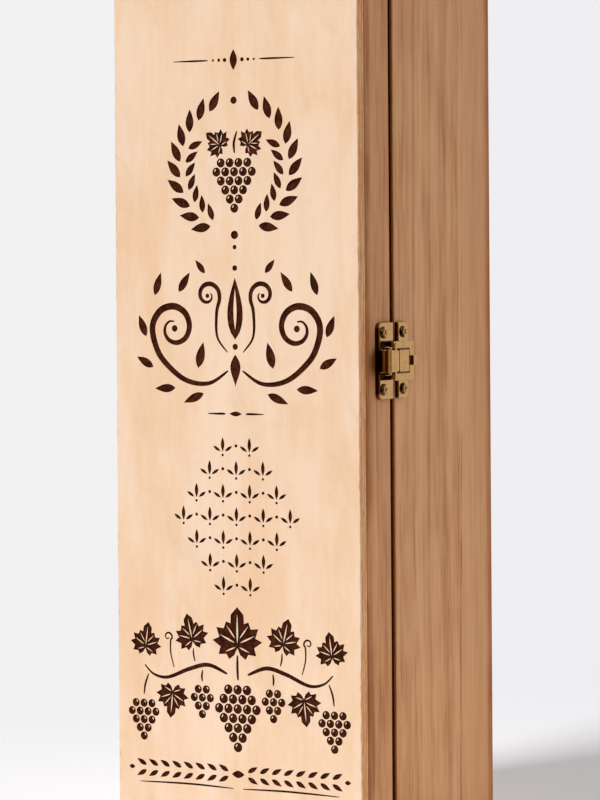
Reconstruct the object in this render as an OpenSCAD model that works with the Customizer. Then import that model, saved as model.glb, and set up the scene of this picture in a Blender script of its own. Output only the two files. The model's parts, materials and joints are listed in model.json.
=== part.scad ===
// Wooden wine box: a pine tray and a shallow pine lid with plywood panels, joined by two
// butt hinges and held shut by a duckbill latch. Millimetres.
// The box stands on its end. +X is the latch side, -Y is the front of the lid and +Z is up.
// The origin is the middle of the box's foot.

/* [Box] */
// Outer width, from the hinge side to the latch side
box_w = 100; // [94:1:130]
// Overall depth of the shut box, from the front of the lid to the back of the tray
box_d = 100; // [94:1:130]
// Height of the box standing on its end
box_h = 350; // [330:5:400]
// Thickness of the pine boards
board_t = 8; // [7:0.5:10]

/* [Lid] */
// Depth of the lid, from its front face to its rim
lid_d = 22.5; // [20:0.5:30]
// Thickness of the plywood front panel
front_t = 4.8; // [3:0.2:6]

/* [Tray] */
// Thickness of the plywood back panel
back_t = 4.8; // [3:0.2:6]
// Width of the rabbet that the back panel lies in
rabbet_w = 4; // [3:0.5:5]
// Clearance between the back panel's edges and the rabbet
panel_play = 0.1; // [0.05:0.05:0.3]

/* [Nails] */
// Radius of a nail's shank
nail_r = 0.7; // [0.5:0.1:1]
// Radius of a nail's head
nail_head_r = 1.3; // [1.1:0.1:1.6]
// Thickness of a nail's head, which is driven flush
nail_head_t = 0.6; // [0.4:0.1:1]
// Length of a nail
nail_len = 22; // [16:1:28]
// Nails in each corner of the tray
tray_corner_nails = 3; // [2:1:4]
// Nails in each corner of the lid
lid_corner_nails = 2; // [1:1:2]
// Distance from the end of a nailed joint to its first nail
nail_inset = 5; // [4:0.5:6]
// Radial clearance between a driven nail or screw and its wood
wood_play = 0.02; // [0.01:0.01:0.05]

/* [Hinges] */
// Length of a hinge along its pin
hinge_len = 25; // [20:1:32]
// Thickness of a hinge leaf
leaf_t = 1.2; // [0.9:0.1:1.5]
// Clearance between the two leaves when the lid is shut
leaf_play = 0.6; // [0.4:0.1:1]
// Distance from a leaf's free edge to the inside of its board
leaf_margin = 0.6; // [0.4:0.1:1.5]
// Radius of the hinge pin
hinge_pin_r = 1; // [0.8:0.1:1.2]
// Wall of a knuckle around the pin
knuckle_wall = 0.9; // [0.7:0.1:1.2]
// Knuckles on a hinge, shared by its two leaves
knuckles = 5; // [3:2:7]
// Gap between neighbouring knuckles
knuckle_gap = 0.2; // [0.15:0.05:0.4]
// Clearance from the knuckles to the wood and to the other leaf
knuckle_play = 0.25; // [0.15:0.05:0.5]
// Thickness of the pin's peened ends
pin_cap_t = 0.5; // [0.3:0.1:1]
// Distance from each end of the box to the middle of its hinge
hinge_inset = 70; // [50:5:100]
// Distance from a hinge's end to its screw
leaf_screw_inset = 5; // [4:0.5:7]
// Radius of a countersunk hinge screw's head
leaf_screw_head_r = 1.9; // [1.6:0.1:2.2]
// Length of a hinge screw
leaf_screw_len = 9; // [7:0.5:11]

/* [Latch plates] */
// Height of both latch plates
latch_h = 26.8; // [25:0.2:32]
// Width of the plate on the lid
base_plate_w = 10.6; // [10:0.2:12]
// Width of the plate on the tray
catch_plate_w = 7.6; // [7:0.2:10]
// Height of the plates' faces above the wood
plate_rise = 1.5; // [1.3:0.1:2]
// Thickness of the pressed sheet
sheet_t = 0.8; // [0.6:0.1:0.9]
// Distance from each plate to the rim of its own wood
plate_setback = 0.4; // [0.2:0.1:1]
// Radius of the plates' corners away from the rims
outer_corner_r = 2.2; // [1.4:0.1:2.6]
// Radius of the plates' corners beside the rims
inner_corner_r = 1; // [0.8:0.1:1.4]
// Distance from a plate's front edge to its screws
latch_screw_inset_y = 3.5; // [3:0.1:4]
// Distance from a plate's end to its screws
latch_screw_inset_z = 3.4; // [3:0.1:4]
// Radius of a latch screw's head
latch_screw_head_r = 2.1; // [1.8:0.1:2.4]
// Height of a latch screw's head
latch_screw_head_t = 0.8; // [0.6:0.1:1.1]
// Length of a latch screw's shank
latch_screw_len = 7.5; // [6:0.5:8]

/* [Latch lever] */
// Radius of the latch pin
latch_pin_r = 1.1; // [0.9:0.1:1.3]
// Wall of the lever's barrel around the pin
barrel_wall = 0.9; // [0.7:0.1:1.1]
// Wall of the base plate's ears around the pin
ear_wall = 0.6; // [0.5:0.1:0.8]
// Clearance between the lever and the base plate
ear_play = 0.2; // [0.1:0.05:0.3]
// Distance from the base plate's front edge to the pivot
pivot_inset = 1.7; // [1.7:0.1:2.5]
// Thickness of the barrel's sheet, where its end laps over the frame
lap_t = 0.6; // [0.4:0.1:0.8]
// Radius of the lap's corners
lap_corner_r = 1.2; // [0.8:0.1:1.6]
// Height of the lever's frame, along the box
lever_h = 13.8; // [13:0.2:15]
// Distance from the barrel to the lever's frame
frame_gap = 1.4; // [1:0.1:2]
// Width of the frame's bar beside the barrel
lap_bar_w = 1.1; // [0.9:0.1:1.4]
// Width of the bar that the tongue holds
hold_bar_w = 3.2; // [2.8:0.2:4.4]
// Height of the catch's tongue, along the box
tongue_h = 7.7; // [7:0.1:8]
// Clearance above and below the tongue in the lever's window
tongue_play = 0.6; // [0.4:0.1:0.8]
// Clearance from the tongue to the bar that it holds, so that the lever lifts off it
snap_play = 0.5; // [0.4:0.1:0.8]
// Height of the tongue's flat top above the lever
tongue_over = 0.2; // [0.1:0.1:0.4]
// Distance from the lap's end to the tongue's flat top
tongue_gap = 1.8; // [1.4:0.1:3]
// Radius of the corners of the tongue's flat top
tongue_corner_r = 0.8; // [0.4:0.1:1.2]
// Height of the finger tab, along the box
tab_h = 3.6; // [3:0.2:5]
// Height of the finger tab above the lever
tab_rise = 1.2; // [1:0.1:1.6]
// Length of the finger tab's ramp
tab_ramp = 0.9; // [0.7:0.1:1.2]
// Distance that the finger tab reaches beyond the lever's frame
tab_over = 0.2; // [0:0.1:1]

/* [Fits] */
// Radial clearance of a pin that turns in its bore
run_play = 0.06; // [0.03:0.01:0.09]
// Radial clearance of a pin that is fixed in its bore
fixed_play = 0.02; // [0.01:0.01:0.03]
// Radial clearance of a screw in a plate or leaf
screw_play = 0.1; // [0.05:0.05:0.2]
// Radius of every screw's shank
screw_r = 0.9; // [0.8:0.1:1]

/* [Hidden] */
$fn = 64;
// How far a cut runs past the face that it opens
past = 1;

// The wood, along the depth
side_x = box_w / 2;
front_y = -box_d / 2;
back_y = box_d / 2;
rim_gap = 2 * leaf_t + leaf_play;
lid_rim_y = front_y + lid_d;
tray_rim_y = lid_rim_y + rim_gap;
gap_y = lid_rim_y + rim_gap / 2;
end_w = box_w - 2 * board_t;
rabbet_y = back_y - back_t;
rail_y = front_y + front_t;

// The nailed joints, each from its first nail to its last
lid_nail_ys = nail_places(rail_y, lid_rim_y, lid_corner_nails);
tray_nail_ys = nail_places(tray_rim_y, rabbet_y, tray_corner_nails);

// The hinges
knuckle_r = hinge_pin_r + run_play + knuckle_wall;
pin_x = -side_x - knuckle_r - knuckle_play;
leaf_end_x = -side_x + board_t - leaf_margin;
leaf_screw_x = -side_x + board_t / 2;
knuckle_len = hinge_len / knuckles;
hinge_zs = [box_h - hinge_inset, hinge_inset];
leaf_screw_z = hinge_len / 2 - leaf_screw_inset;
leaf_screw_head_t = leaf_screw_head_r - screw_r;

// The latch, measured outwards from the wood, along the depth from the middle of the rim gap
latch_z = box_h / 2;
base_edge_y = -rim_gap / 2 - plate_setback - base_plate_w;
catch_edge_y = rim_gap / 2 + plate_setback;
barrel_r = latch_pin_r + run_play + barrel_wall;
barrel_h = tongue_h;
pivot_y = base_edge_y + pivot_inset;
pivot_x = plate_rise + ear_play + barrel_r;
lap_top_x = pivot_x + barrel_r;
lever_top_x = lap_top_x - lap_t;
lever_low_x = lever_top_x - sheet_t;
frame_y = pivot_y + barrel_r + frame_gap;
window_y = frame_y + lap_bar_w;
window_h = tongue_h + 2 * tongue_play;
tongue_back_y = catch_edge_y + sheet_t;
window_end_y = tongue_back_y + snap_play;
lever_end_y = window_end_y + hold_bar_w;
tongue_front_y = window_y + tongue_gap;
tongue_top_x = lever_top_x + tongue_over;
tab_low_x = lever_top_x + tab_rise - sheet_t;
ear_r = latch_pin_r + fixed_play + ear_wall;
ear_z = barrel_h / 2 + ear_play;
ear_slot_z = ear_z + sheet_t;
ear_slot_w = 1.9;
latch_screw_z = latch_h / 2 - latch_screw_inset_z;
cross_w = 0.5;
cross_t = 0.5;
tip_t = 2;
tip_r = 0.2;

// Places of n nails along a joint that runs from one y to another
function nail_places(from, to, n) =
    n == 1 ? [(from + to) / 2]
           : [for (i = [0:n - 1]) from + nail_inset + i * (to - from - 2 * nail_inset) / (n - 1)];

// ---- Shared shapes ----

// A box between two corners
module block(low, high) {
    translate(low) cube(high - low);
}

// A rectangle from low to high in its own plane, with corners of radius low_r on its low X side
// and of radius high_r on its high X side
module round_rect(low, high, low_r, high_r) {
    translate([low.x + low_r, low.y])
        square([high.x - low.x - low_r - high_r, high.y - low.y]);
    translate([low.x, low.y + low_r])
        square([low_r, high.y - low.y - 2 * low_r]);
    translate([high.x - high_r, low.y + high_r])
        square([high_r, high.y - low.y - 2 * high_r]);
    for (y = [low.y + low_r, high.y - low_r]) translate([low.x + low_r, y]) circle(low_r);
    for (y = [low.y + high_r, high.y - high_r]) translate([high.x - high_r, y]) circle(high_r);
}

// Turns a shape drawn in XY, and extruded along Z, so that X becomes Y, Y becomes Z and Z becomes X
module face_x() {
    multmatrix([[0, 0, 1, 0], [1, 0, 0, 0], [0, 1, 0, 0]]) children();
}

// A nail along +X with its head's face at the origin, made fatter by grow to cut its hole
module nail(grow = 0) {
    rotate([0, 90, 0]) {
        cylinder(h = nail_head_t, r = nail_head_r + grow);
        cylinder(h = nail_len, r = nail_r + grow);
    }
}

// The nails of one part, through both long sides into the ends
module nails(ys, grow = 0) {
    for (y = ys, z = [board_t / 2, box_h - board_t / 2]) {
        translate([-side_x, y, z]) nail(grow);
        translate([side_x, y, z]) mirror([1, 0, 0]) nail(grow);
    }
}

// The crossed recess in a screw's head, whose face is at z = 0 and looks up
module cross_recess(r) {
    for (a = [0, 90]) rotate(a)
        translate([-r * 0.6, -cross_w / 2, -cross_t]) cube([r * 1.2, cross_w, cross_t + past]);
}

// A countersunk screw down -Z with the face of its head at z = 0
module sunk_screw(grow = 0, cross = true) {
    difference() {
        union() {
            translate([0, 0, -leaf_screw_head_t])
                cylinder(h = leaf_screw_head_t, r1 = screw_r + grow, r2 = leaf_screw_head_r + grow);
            translate([0, 0, tip_t - leaf_screw_len])
                cylinder(h = leaf_screw_len - tip_t, r = screw_r + grow);
            translate([0, 0, -leaf_screw_len])
                cylinder(h = tip_t, r1 = tip_r + grow, r2 = screw_r + grow);
        }
        if (cross) cross_recess(leaf_screw_head_r);
    }
}

// A pan-headed screw down -Z that stands on the face at z = 0
module pan_screw(grow = 0, cross = true) {
    difference() {
        union() {
            cylinder(h = latch_screw_head_t, r = latch_screw_head_r);
            translate([0, 0, tip_t - latch_screw_len])
                cylinder(h = latch_screw_len - tip_t, r = screw_r + grow);
            translate([0, 0, -latch_screw_len])
                cylinder(h = tip_t, r1 = tip_r + grow, r2 = screw_r + grow);
        }
        if (cross) translate([0, 0, latch_screw_head_t]) cross_recess(latch_screw_head_r);
    }
}

// ---- Hinges ----

// Puts the children at a hinge's pin, halfway along it
module at_hinge(z) {
    translate([pin_x, gap_y, z]) children();
}

// Knuckles first, first + 2 and so on, as cylinders of one radius, each longer by extra at both ends
module knuckle_row(first, r, extra) {
    for (i = [first:2:knuckles - 1])
        translate([0, 0, -hinge_len / 2 + i * knuckle_len + knuckle_gap / 2 - extra])
            cylinder(h = knuckle_len - knuckle_gap + 2 * extra, r = r);
}

// A leaf on one side of the gap: side is -1 on the lid and 1 on the tray
module leaf(side, first, bore_r) {
    inner_y = side * leaf_play / 2;
    outer_y = side * rim_gap / 2;
    color("goldenrod")
    difference() {
        union() {
            knuckle_row(first, knuckle_r, 0);
            difference() {
                block([0, min(inner_y, outer_y), -hinge_len / 2 + knuckle_gap / 2],
                      [leaf_end_x - pin_x, max(inner_y, outer_y), hinge_len / 2 - knuckle_gap / 2]);
                knuckle_row(1 - first, knuckle_r + knuckle_play, knuckle_gap);
            }
        }
        translate([0, 0, -hinge_len]) cylinder(h = 2 * hinge_len, r = bore_r);
        for (z = [-leaf_screw_z, leaf_screw_z])
            translate([leaf_screw_x - pin_x, inner_y, z])
                rotate([side * 90, 0, 0]) sunk_screw(screw_play, false);
    }
}

// The pin with its two peened ends
module hinge_pin() {
    color("gold") {
        translate([0, 0, -hinge_len / 2]) cylinder(h = hinge_len, r = hinge_pin_r);
        for (m = [0, 1]) mirror([0, 0, m])
            translate([0, 0, hinge_len / 2 - knuckle_gap / 2])
                cylinder(h = pin_cap_t, r = hinge_pin_r + knuckle_wall / 2);
    }
}

// The four screws of one part's leaves, or their holes in the wood
module leaf_screws(side, grow = 0, cross = true) {
    for (h = hinge_zs, z = [-leaf_screw_z, leaf_screw_z])
        translate([leaf_screw_x, gap_y + side * leaf_play / 2, h + z])
            rotate([side * 90, 0, 0]) sunk_screw(grow, cross);
}

// ---- Latch ----

// Puts the children on the latch side, at the middle of the rim gap and of the box's height
module at_latch() {
    translate([side_x, gap_y, latch_z]) children();
}

// A shallow pressed pan that stands on the wood, from one y to another, and its corners' radii
module pan(from_y, to_y, from_r, to_r) {
    low = [from_y, -latch_h / 2];
    high = [to_y, latch_h / 2];
    wall = [sheet_t, sheet_t];
    face_x() difference() {
        linear_extrude(plate_rise) round_rect(low, high, from_r, to_r);
        translate([0, 0, -past]) linear_extrude(plate_rise - sheet_t + past)
            round_rect(low + wall, high - wall, from_r - sheet_t / 2, to_r - sheet_t / 2);
    }
}

// The two screws of a plate whose front edge is at edge_y, or their holes
module latch_screws(edge_y, grow = 0, cross = true) {
    for (z = [-latch_screw_z, latch_screw_z])
        translate([plate_rise, edge_y + latch_screw_inset_y, z])
            rotate([0, 90, 0]) pan_screw(grow, cross);
}

// The holes through a pan for its screws
module plate_holes(edge_y) {
    for (z = [-latch_screw_z, latch_screw_z])
        translate([-past, edge_y + latch_screw_inset_y, z])
            rotate([0, 90, 0]) cylinder(h = plate_rise + 2 * past, r = screw_r + screw_play);
}

// The lid's plate: a pan with two ears that are folded up out of it to hold the pin
module base_plate() {
    ear_low_x = plate_rise - sheet_t / 2;
    color("goldenrod")
    difference() {
        union() {
            difference() {
                pan(base_edge_y, base_edge_y + base_plate_w, outer_corner_r, inner_corner_r);
                plate_holes(base_edge_y);
                for (m = [0, 1]) mirror([0, 0, m])
                    block([-past, base_edge_y + 2 * sheet_t, ear_slot_z],
                          [plate_rise + past, base_edge_y + base_plate_w - 2 * sheet_t,
                           ear_slot_z + ear_slot_w]);
            }
            for (m = [0, 1]) mirror([0, 0, m]) translate([0, 0, ear_z]) {
                translate([pivot_x, pivot_y, 0]) cylinder(h = sheet_t, r = ear_r);
                block([ear_low_x, pivot_y - ear_r, 0], [pivot_x, pivot_y + ear_r, sheet_t]);
            }
        }
        translate([pivot_x, pivot_y, -latch_h / 2])
            cylinder(h = latch_h, r = latch_pin_r + fixed_play);
    }
}

// The tray's plate: a pan with a tongue along its front edge, bent up and then forwards into a flat top
module catch_plate() {
    color("goldenrod") {
        difference() {
            pan(catch_edge_y, catch_edge_y + catch_plate_w, inner_corner_r, outer_corner_r);
            plate_holes(catch_edge_y);
        }
        block([plate_rise - sheet_t / 2, catch_edge_y, -tongue_h / 2], [tongue_top_x, tongue_back_y, tongue_h / 2]);
        face_x() translate([0, 0, tongue_top_x - sheet_t]) linear_extrude(sheet_t) difference() {
            round_rect([tongue_front_y, -tongue_h / 2], [tongue_back_y + 2 * tongue_corner_r, tongue_h / 2],
                       tongue_corner_r, tongue_corner_r);
            translate([tongue_back_y, -tongue_h]) square(2 * [tongue_h, tongue_h]);
        }
    }
}

// The lever: a barrel whose end laps over a frame, which drops around the tongue, and a finger tab
module lever() {
    color("gold")
    difference() {
        union() {
            translate([pivot_x, pivot_y, -barrel_h / 2]) cylinder(h = barrel_h, r = barrel_r);
            block([lever_low_x, pivot_y, -barrel_h / 2], [lever_top_x, window_y, barrel_h / 2]);
            face_x() translate([0, 0, lever_top_x - past]) linear_extrude(lap_t + past)
                difference() {
                    round_rect([pivot_y - lap_corner_r, -barrel_h / 2], [window_y, barrel_h / 2],
                               lap_corner_r, lap_corner_r);
                    translate([pivot_y - 2 * barrel_r, -barrel_h]) square(2 * [barrel_r, barrel_h]);
                }
            difference() {
                block([lever_low_x, frame_y, -lever_h / 2], [lever_top_x, lever_end_y, lever_h / 2]);
                block([lever_low_x - past, window_y, -window_h / 2],
                      [lever_top_x + past, window_end_y, window_h / 2]);
            }
            translate([0, 0, -tab_h / 2]) linear_extrude(tab_h) polygon([
                [lever_low_x, window_end_y],
                [lever_top_x + tab_rise, window_end_y + tab_ramp],
                [lever_top_x + tab_rise, lever_end_y + tab_over],
                [tab_low_x, lever_end_y + tab_over],
                [tab_low_x, window_end_y + tab_ramp + sheet_t],
                [lever_low_x, window_end_y + sheet_t]
            ]);
        }
        translate([pivot_x, pivot_y, -latch_h / 2])
            cylinder(h = latch_h, r = latch_pin_r + run_play);
    }
}

// The pin across the two ears
module latch_pin() {
    half = ear_slot_z + ear_play;
    color("gold") translate([pivot_x, pivot_y, -half]) cylinder(h = 2 * half, r = latch_pin_r);
}

// ---- Wood ----

// Everything that is driven into the tray's wood, grown by the wood's clearance
module tray_holes() {
    nails(tray_nail_ys, wood_play);
    leaf_screws(1, wood_play, false);
    at_latch() latch_screws(catch_edge_y, wood_play, false);
}

// Everything that is driven into the lid's wood
module lid_holes() {
    nails(lid_nail_ys, wood_play);
    leaf_screws(-1, wood_play, false);
    at_latch() latch_screws(base_edge_y, wood_play, false);
}

// The space of the back panel, grown by grow along its edges
module back_space(grow) {
    edge = board_t - rabbet_w - grow;
    block([-side_x + edge, rabbet_y, edge], [side_x - edge, back_y + (grow > 0 ? past : 0), box_h - edge]);
}

// A long side of the tray: side is -1 on the hinge side and 1 on the latch side
module tray_side(side) {
    color("burlywood") difference() {
        block([side > 0 ? side_x - board_t : -side_x, tray_rim_y, 0],
              [side > 0 ? side_x : board_t - side_x, back_y, box_h]);
        back_space(panel_play);
        tray_holes();
    }
}

// An end of the tray, between its sides, with its outer face at z or board_t above it
module tray_end(z) {
    color("burlywood") difference() {
        block([-end_w / 2, tray_rim_y, z], [end_w / 2, back_y, z + board_t]);
        back_space(panel_play);
        tray_holes();
    }
}

// The back panel in its rabbet
module tray_back_panel() {
    color("blanchedalmond") back_space(0);
}

// A long rail of the lid, behind the front panel
module lid_rail(side) {
    color("burlywood") difference() {
        block([side > 0 ? side_x - board_t : -side_x, rail_y, 0],
              [side > 0 ? side_x : board_t - side_x, lid_rim_y, box_h]);
        lid_holes();
    }
}

// An end rail of the lid, between its long rails
module lid_end(z) {
    color("burlywood") difference() {
        block([-end_w / 2, rail_y, z], [end_w / 2, lid_rim_y, z + board_t]);
        lid_holes();
    }
}

// The front panel, which covers the rails
module lid_front_panel() {
    color("blanchedalmond") block([-side_x, front_y, 0], [side_x, rail_y, box_h]);
}

tray_side(-1);  // tray_left_side
tray_side(1);  // tray_right_side
tray_end(box_h - board_t);  // tray_top_end
tray_end(0);  // tray_bottom_end
tray_back_panel();
color("silver") nails(tray_nail_ys);  // tray_nails
lid_front_panel();
lid_rail(-1);  // lid_left_rail
lid_rail(1);  // lid_right_rail
lid_end(box_h - board_t);  // lid_top_rail
lid_end(0);  // lid_bottom_rail
color("silver") nails(lid_nail_ys);  // lid_nails
at_hinge(hinge_zs[0]) leaf(1, 0, hinge_pin_r + fixed_play);  // upper_hinge_tray_leaf
at_hinge(hinge_zs[0]) leaf(-1, 1, hinge_pin_r + run_play);  // upper_hinge_lid_leaf
at_hinge(hinge_zs[0]) hinge_pin();  // upper_hinge_pin
at_hinge(hinge_zs[1]) leaf(1, 0, hinge_pin_r + fixed_play);  // lower_hinge_tray_leaf
at_hinge(hinge_zs[1]) leaf(-1, 1, hinge_pin_r + run_play);  // lower_hinge_lid_leaf
at_hinge(hinge_zs[1]) hinge_pin();  // lower_hinge_pin
color("gold") leaf_screws(1);  // hinge_tray_screws
color("gold") leaf_screws(-1);  // hinge_lid_screws
at_latch() base_plate();  // latch_base_plate
at_latch() lever();  // latch_lever
at_latch() latch_pin();
at_latch() catch_plate();  // latch_catch_plate
at_latch() color("gold") latch_screws(base_edge_y);  // latch_base_screws
at_latch() color("gold") latch_screws(catch_edge_y);  // latch_catch_screws
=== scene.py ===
"""Dresses the wooden wine box: eased boards, an engraved lid, brass hardware and a plain studio.

Lengths are in millimetres in the box's own frame, and become metres when a piece is finished.
"""
from __future__ import annotations

import json
import logging
import math
from dataclasses import dataclass, field, replace
from enum import Enum
from typing import Callable, Iterable, Iterator, Sequence

import bmesh
import bpy
from mathutils import Matrix, Vector, noise

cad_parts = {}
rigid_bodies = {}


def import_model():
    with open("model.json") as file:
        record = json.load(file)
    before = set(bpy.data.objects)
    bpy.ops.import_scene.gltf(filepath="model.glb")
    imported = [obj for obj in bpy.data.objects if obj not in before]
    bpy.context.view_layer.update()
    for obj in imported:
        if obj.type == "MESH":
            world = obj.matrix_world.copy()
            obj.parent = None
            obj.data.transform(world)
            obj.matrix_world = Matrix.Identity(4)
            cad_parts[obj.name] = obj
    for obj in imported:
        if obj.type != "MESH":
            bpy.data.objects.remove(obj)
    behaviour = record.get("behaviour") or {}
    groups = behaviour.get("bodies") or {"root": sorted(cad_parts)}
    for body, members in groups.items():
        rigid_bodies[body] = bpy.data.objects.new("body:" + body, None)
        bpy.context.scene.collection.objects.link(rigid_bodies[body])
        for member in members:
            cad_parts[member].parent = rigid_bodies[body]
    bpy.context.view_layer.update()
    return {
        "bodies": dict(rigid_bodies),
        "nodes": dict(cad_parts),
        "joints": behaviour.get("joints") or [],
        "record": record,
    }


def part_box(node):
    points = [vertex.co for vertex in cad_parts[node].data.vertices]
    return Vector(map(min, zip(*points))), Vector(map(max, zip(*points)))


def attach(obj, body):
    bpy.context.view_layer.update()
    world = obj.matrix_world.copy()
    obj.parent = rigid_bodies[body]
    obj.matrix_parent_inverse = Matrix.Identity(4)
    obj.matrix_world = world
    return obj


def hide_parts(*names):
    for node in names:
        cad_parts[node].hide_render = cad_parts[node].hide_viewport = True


LOG = logging.getLogger("wine_box")
FRAME: dict[str, dict] = {}
Colour = tuple[float, float, float]
Outline = list[tuple[float, float]]
Mesh = bmesh.types.BMesh
Edges = list[bmesh.types.BMEdge]

MM = 0.001
# Two places closer together than this count as one
NEAR = 1e-3
# The outer face of the latch side, the middle of the gap between the rims, and half the box's height
SIDE_X, GAP_Y, MID_Z = 50.0, -26.0, 175.0


class Slot(Enum):
    """The record's material slots."""

    PINE = "pine"
    PLYWOOD = "plywood"
    BRASS = "brass_hardware"
    STEEL = "nail_steel"


class Body(Enum):
    """The bodies that the pieces ride on."""

    TRAY = "tray"
    LID = "lid"
    LEVER = "latch_lever"


class Run(Enum):
    """The row axis that a board's grain or a round bar runs along."""

    ACROSS = 0
    UP = 2


def paint(red: int, green: int, blue: int) -> Colour:
    """Turns a colour as it is seen on a screen, 0 to 255, into the renderer's linear one.

    Args:
        red: its red.
        green: its green.
        blue: its blue.

    Returns:
        The linear colour.
    """
    def linear(part: int) -> float:
        """Undoes the screen's curve for one channel."""
        value = part / 255
        return value / 12.92 if value <= 0.04045 else ((value + 0.055) / 1.055) ** 2.4
    return linear(red), linear(green), linear(blue)


# ---- Shader workbench ----


def operator(operation: str, reflected: bool = False) -> Callable[["Value", object], "Value"]:
    """A Python operator that adds one Math node. A reflected one has the other number first.

    Args:
        operation: the Math node's operation.
        reflected: True where the number stands before the value.

    Returns:
        The operator's method.
    """
    def act(self: "Value", other: object = 0.0) -> "Value":
        """Adds the node and returns its result."""
        first, second = (other, self) if reflected else (self, other)
        return self.bench.node("ShaderNodeMath", {"operation": operation}, {0: first, 1: second})
    return act


class Value:
    """A shader socket that takes part in Python expressions."""

    __add__, __radd__ = operator("ADD"), operator("ADD", True)
    __sub__, __rsub__ = operator("SUBTRACT"), operator("SUBTRACT", True)
    __mul__, __rmul__ = operator("MULTIPLY"), operator("MULTIPLY", True)
    __truediv__, __rtruediv__ = operator("DIVIDE"), operator("DIVIDE", True)
    __pow__, __rpow__ = operator("POWER"), operator("POWER", True)
    # The larger and the smaller of two values, and one value without its sign
    over, under, size = operator("MAXIMUM"), operator("MINIMUM"), operator("ABSOLUTE")

    def __init__(self, bench: "Bench", socket: bpy.types.NodeSocket) -> None:
        """Keeps the socket and the bench that adds its nodes."""
        self.bench = bench
        self.socket = socket

    def beside(self, output: object) -> "Value":
        """Another output of the same node, by name or by number."""
        return Value(self.bench, self.socket.node.outputs[output])


@dataclass
class Bench:
    """The node tree of one finish, and the one method that adds nodes to it."""

    tree: bpy.types.NodeTree

    def node(self, kind: str, settings: dict[str, object] | None = None,
             inputs: dict[object, object] | None = None, output: object = 0) -> Value:
        """Adds one node.

        Args:
            kind: the node's type.
            settings: the node's own properties, set before its sockets.
            inputs: values or links for the sockets, by name or by number.
            output: the name or number of the output that is wanted.

        Returns:
            The chosen output.
        """
        made = self.tree.nodes.new(kind)
        for key, value in (settings or {}).items():
            setattr(made, key, value)
        for key, value in (inputs or {}).items():
            socket = made.inputs[key]
            if isinstance(value, Value):
                self.tree.links.new(value.socket, socket)
            elif isinstance(value, tuple) and len(value) == 3 and len(socket.default_value) == 4:
                socket.default_value = (*value, 1.0)
            else:
                socket.default_value = value
        return Value(self, made.outputs[output] if len(made.outputs) else None)

    def place(self) -> tuple[Value, Value, Value]:
        """The x, y and z of the point on the piece, in millimetres."""
        point = self.node("ShaderNodeTexCoord", output="Object")
        return self.split(self.node("ShaderNodeVectorMath", {"operation": "SCALE"}, {0: point, "Scale": 1 / MM}))

    def split(self, vector: Value) -> tuple[Value, Value, Value]:
        """The three parts of a vector."""
        first = self.node("ShaderNodeSeparateXYZ", inputs={0: vector})
        return first, first.beside(1), first.beside(2)

    def cloud(self, x: object, y: object, z: object, detail: float = 2.0, rough: float = 0.5,
              twist: float = 0.0) -> Value:
        """Soft noise around 0.5 at a place whose unit is the size of one blotch.

        Args:
            x: the place's x.
            y: its y.
            z: its z.
            detail: how many finer layers it has.
            rough: how strong the finer layers are.
            twist: how far the blotches are drawn about.

        Returns:
            The noise.
        """
        place = self.node("ShaderNodeCombineXYZ", inputs={0: x, 1: y, 2: z})
        return self.node("ShaderNodeTexNoise", {"noise_dimensions": "3D"},
                         {"Vector": place, "Scale": 1.0, "Detail": detail, "Roughness": rough, "Distortion": twist})

    def bands(self, along: Value) -> Value:
        """Soft noise around 0.5 along one number whose unit is the width of one band."""
        return self.node("ShaderNodeTexNoise", {"noise_dimensions": "1D"},
                         {"W": along, "Scale": 1.0, "Detail": 1.0, "Roughness": 0.5})

    def step(self, value: Value, low: float, high: float) -> Value:
        """A smooth step from 0 at low to 1 at high."""
        return self.node("ShaderNodeMapRange", {"interpolation_type": "SMOOTHSTEP"},
                         {"Value": value, "From Min": low, "From Max": high, "To Min": 0.0, "To Max": 1.0})

    def between(self, factor: object, first: object, second: object) -> Value:
        """A colour between two colours."""
        return self.node("ShaderNodeMix", {"data_type": "RGBA"}, {0: factor, 6: first, 7: second}, 2)

    def coated(self, colour: Value, *coats: tuple[Value, Colour]) -> Value:
        """A colour under coats, each of them a mask and a colour.

        Args:
            colour: the colour beneath.
            coats: from the lowest to the highest.

        Returns:
            The colour that is left.
        """
        for mask, coat in coats:
            colour = self.between(mask, colour, coat)
        return colour

    def surface(self, colour: Value, rough: object, relief: Value, depth: float, strength: float,
                specular: float = 0.5, metal: float = 0.0) -> None:
        """Ends the tree in a Principled shader.

        Args:
            colour: its base colour.
            rough: its roughness.
            relief: the height of its bump, from 0 to 1.
            depth: how deep the bump is.
            strength: how strong the bump is, from 0 to 1.
            specular: its specular level.
            metal: 1 for a metal.
        """
        bump = self.node("ShaderNodeBump", inputs={"Height": relief, "Distance": depth * MM, "Strength": strength})
        shader = self.node("ShaderNodeBsdfPrincipled", inputs={
            "Base Color": colour, "Roughness": rough, "Specular IOR Level": specular, "Metallic": metal,
            "Normal": bump})
        self.node("ShaderNodeOutputMaterial", inputs={"Surface": shader})


# ---- Finishes ----

# In each finish, a place is divided by the size in millimetres of the marks that it draws.


@dataclass(frozen=True)
class Finish:
    """One finish of the box. A finish says how its nodes are laid; this makes the material."""

    name: str

    def lay(self, bench: Bench) -> None:
        """Adds the finish's nodes."""
        raise NotImplementedError

    def make(self) -> bpy.types.Material:
        """Makes the material, or returns the one that is there already.

        Returns:
            The material.
        """
        found = bpy.data.materials.get(self.name)
        if found:
            return found
        material = bpy.data.materials.new(self.name)
        material.use_nodes = True
        material.node_tree.nodes.clear()
        self.lay(Bench(material.node_tree))
        return material


# A paler, less orange copy of the pine for every board but the two on the latch side, painted so that faces lit
# mostly by bounce light don't turn too orange
BOUNCE_LIT_TONES: tuple[Colour, Colour] = (paint(238, 192, 148), paint(178, 112, 58))


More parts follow.
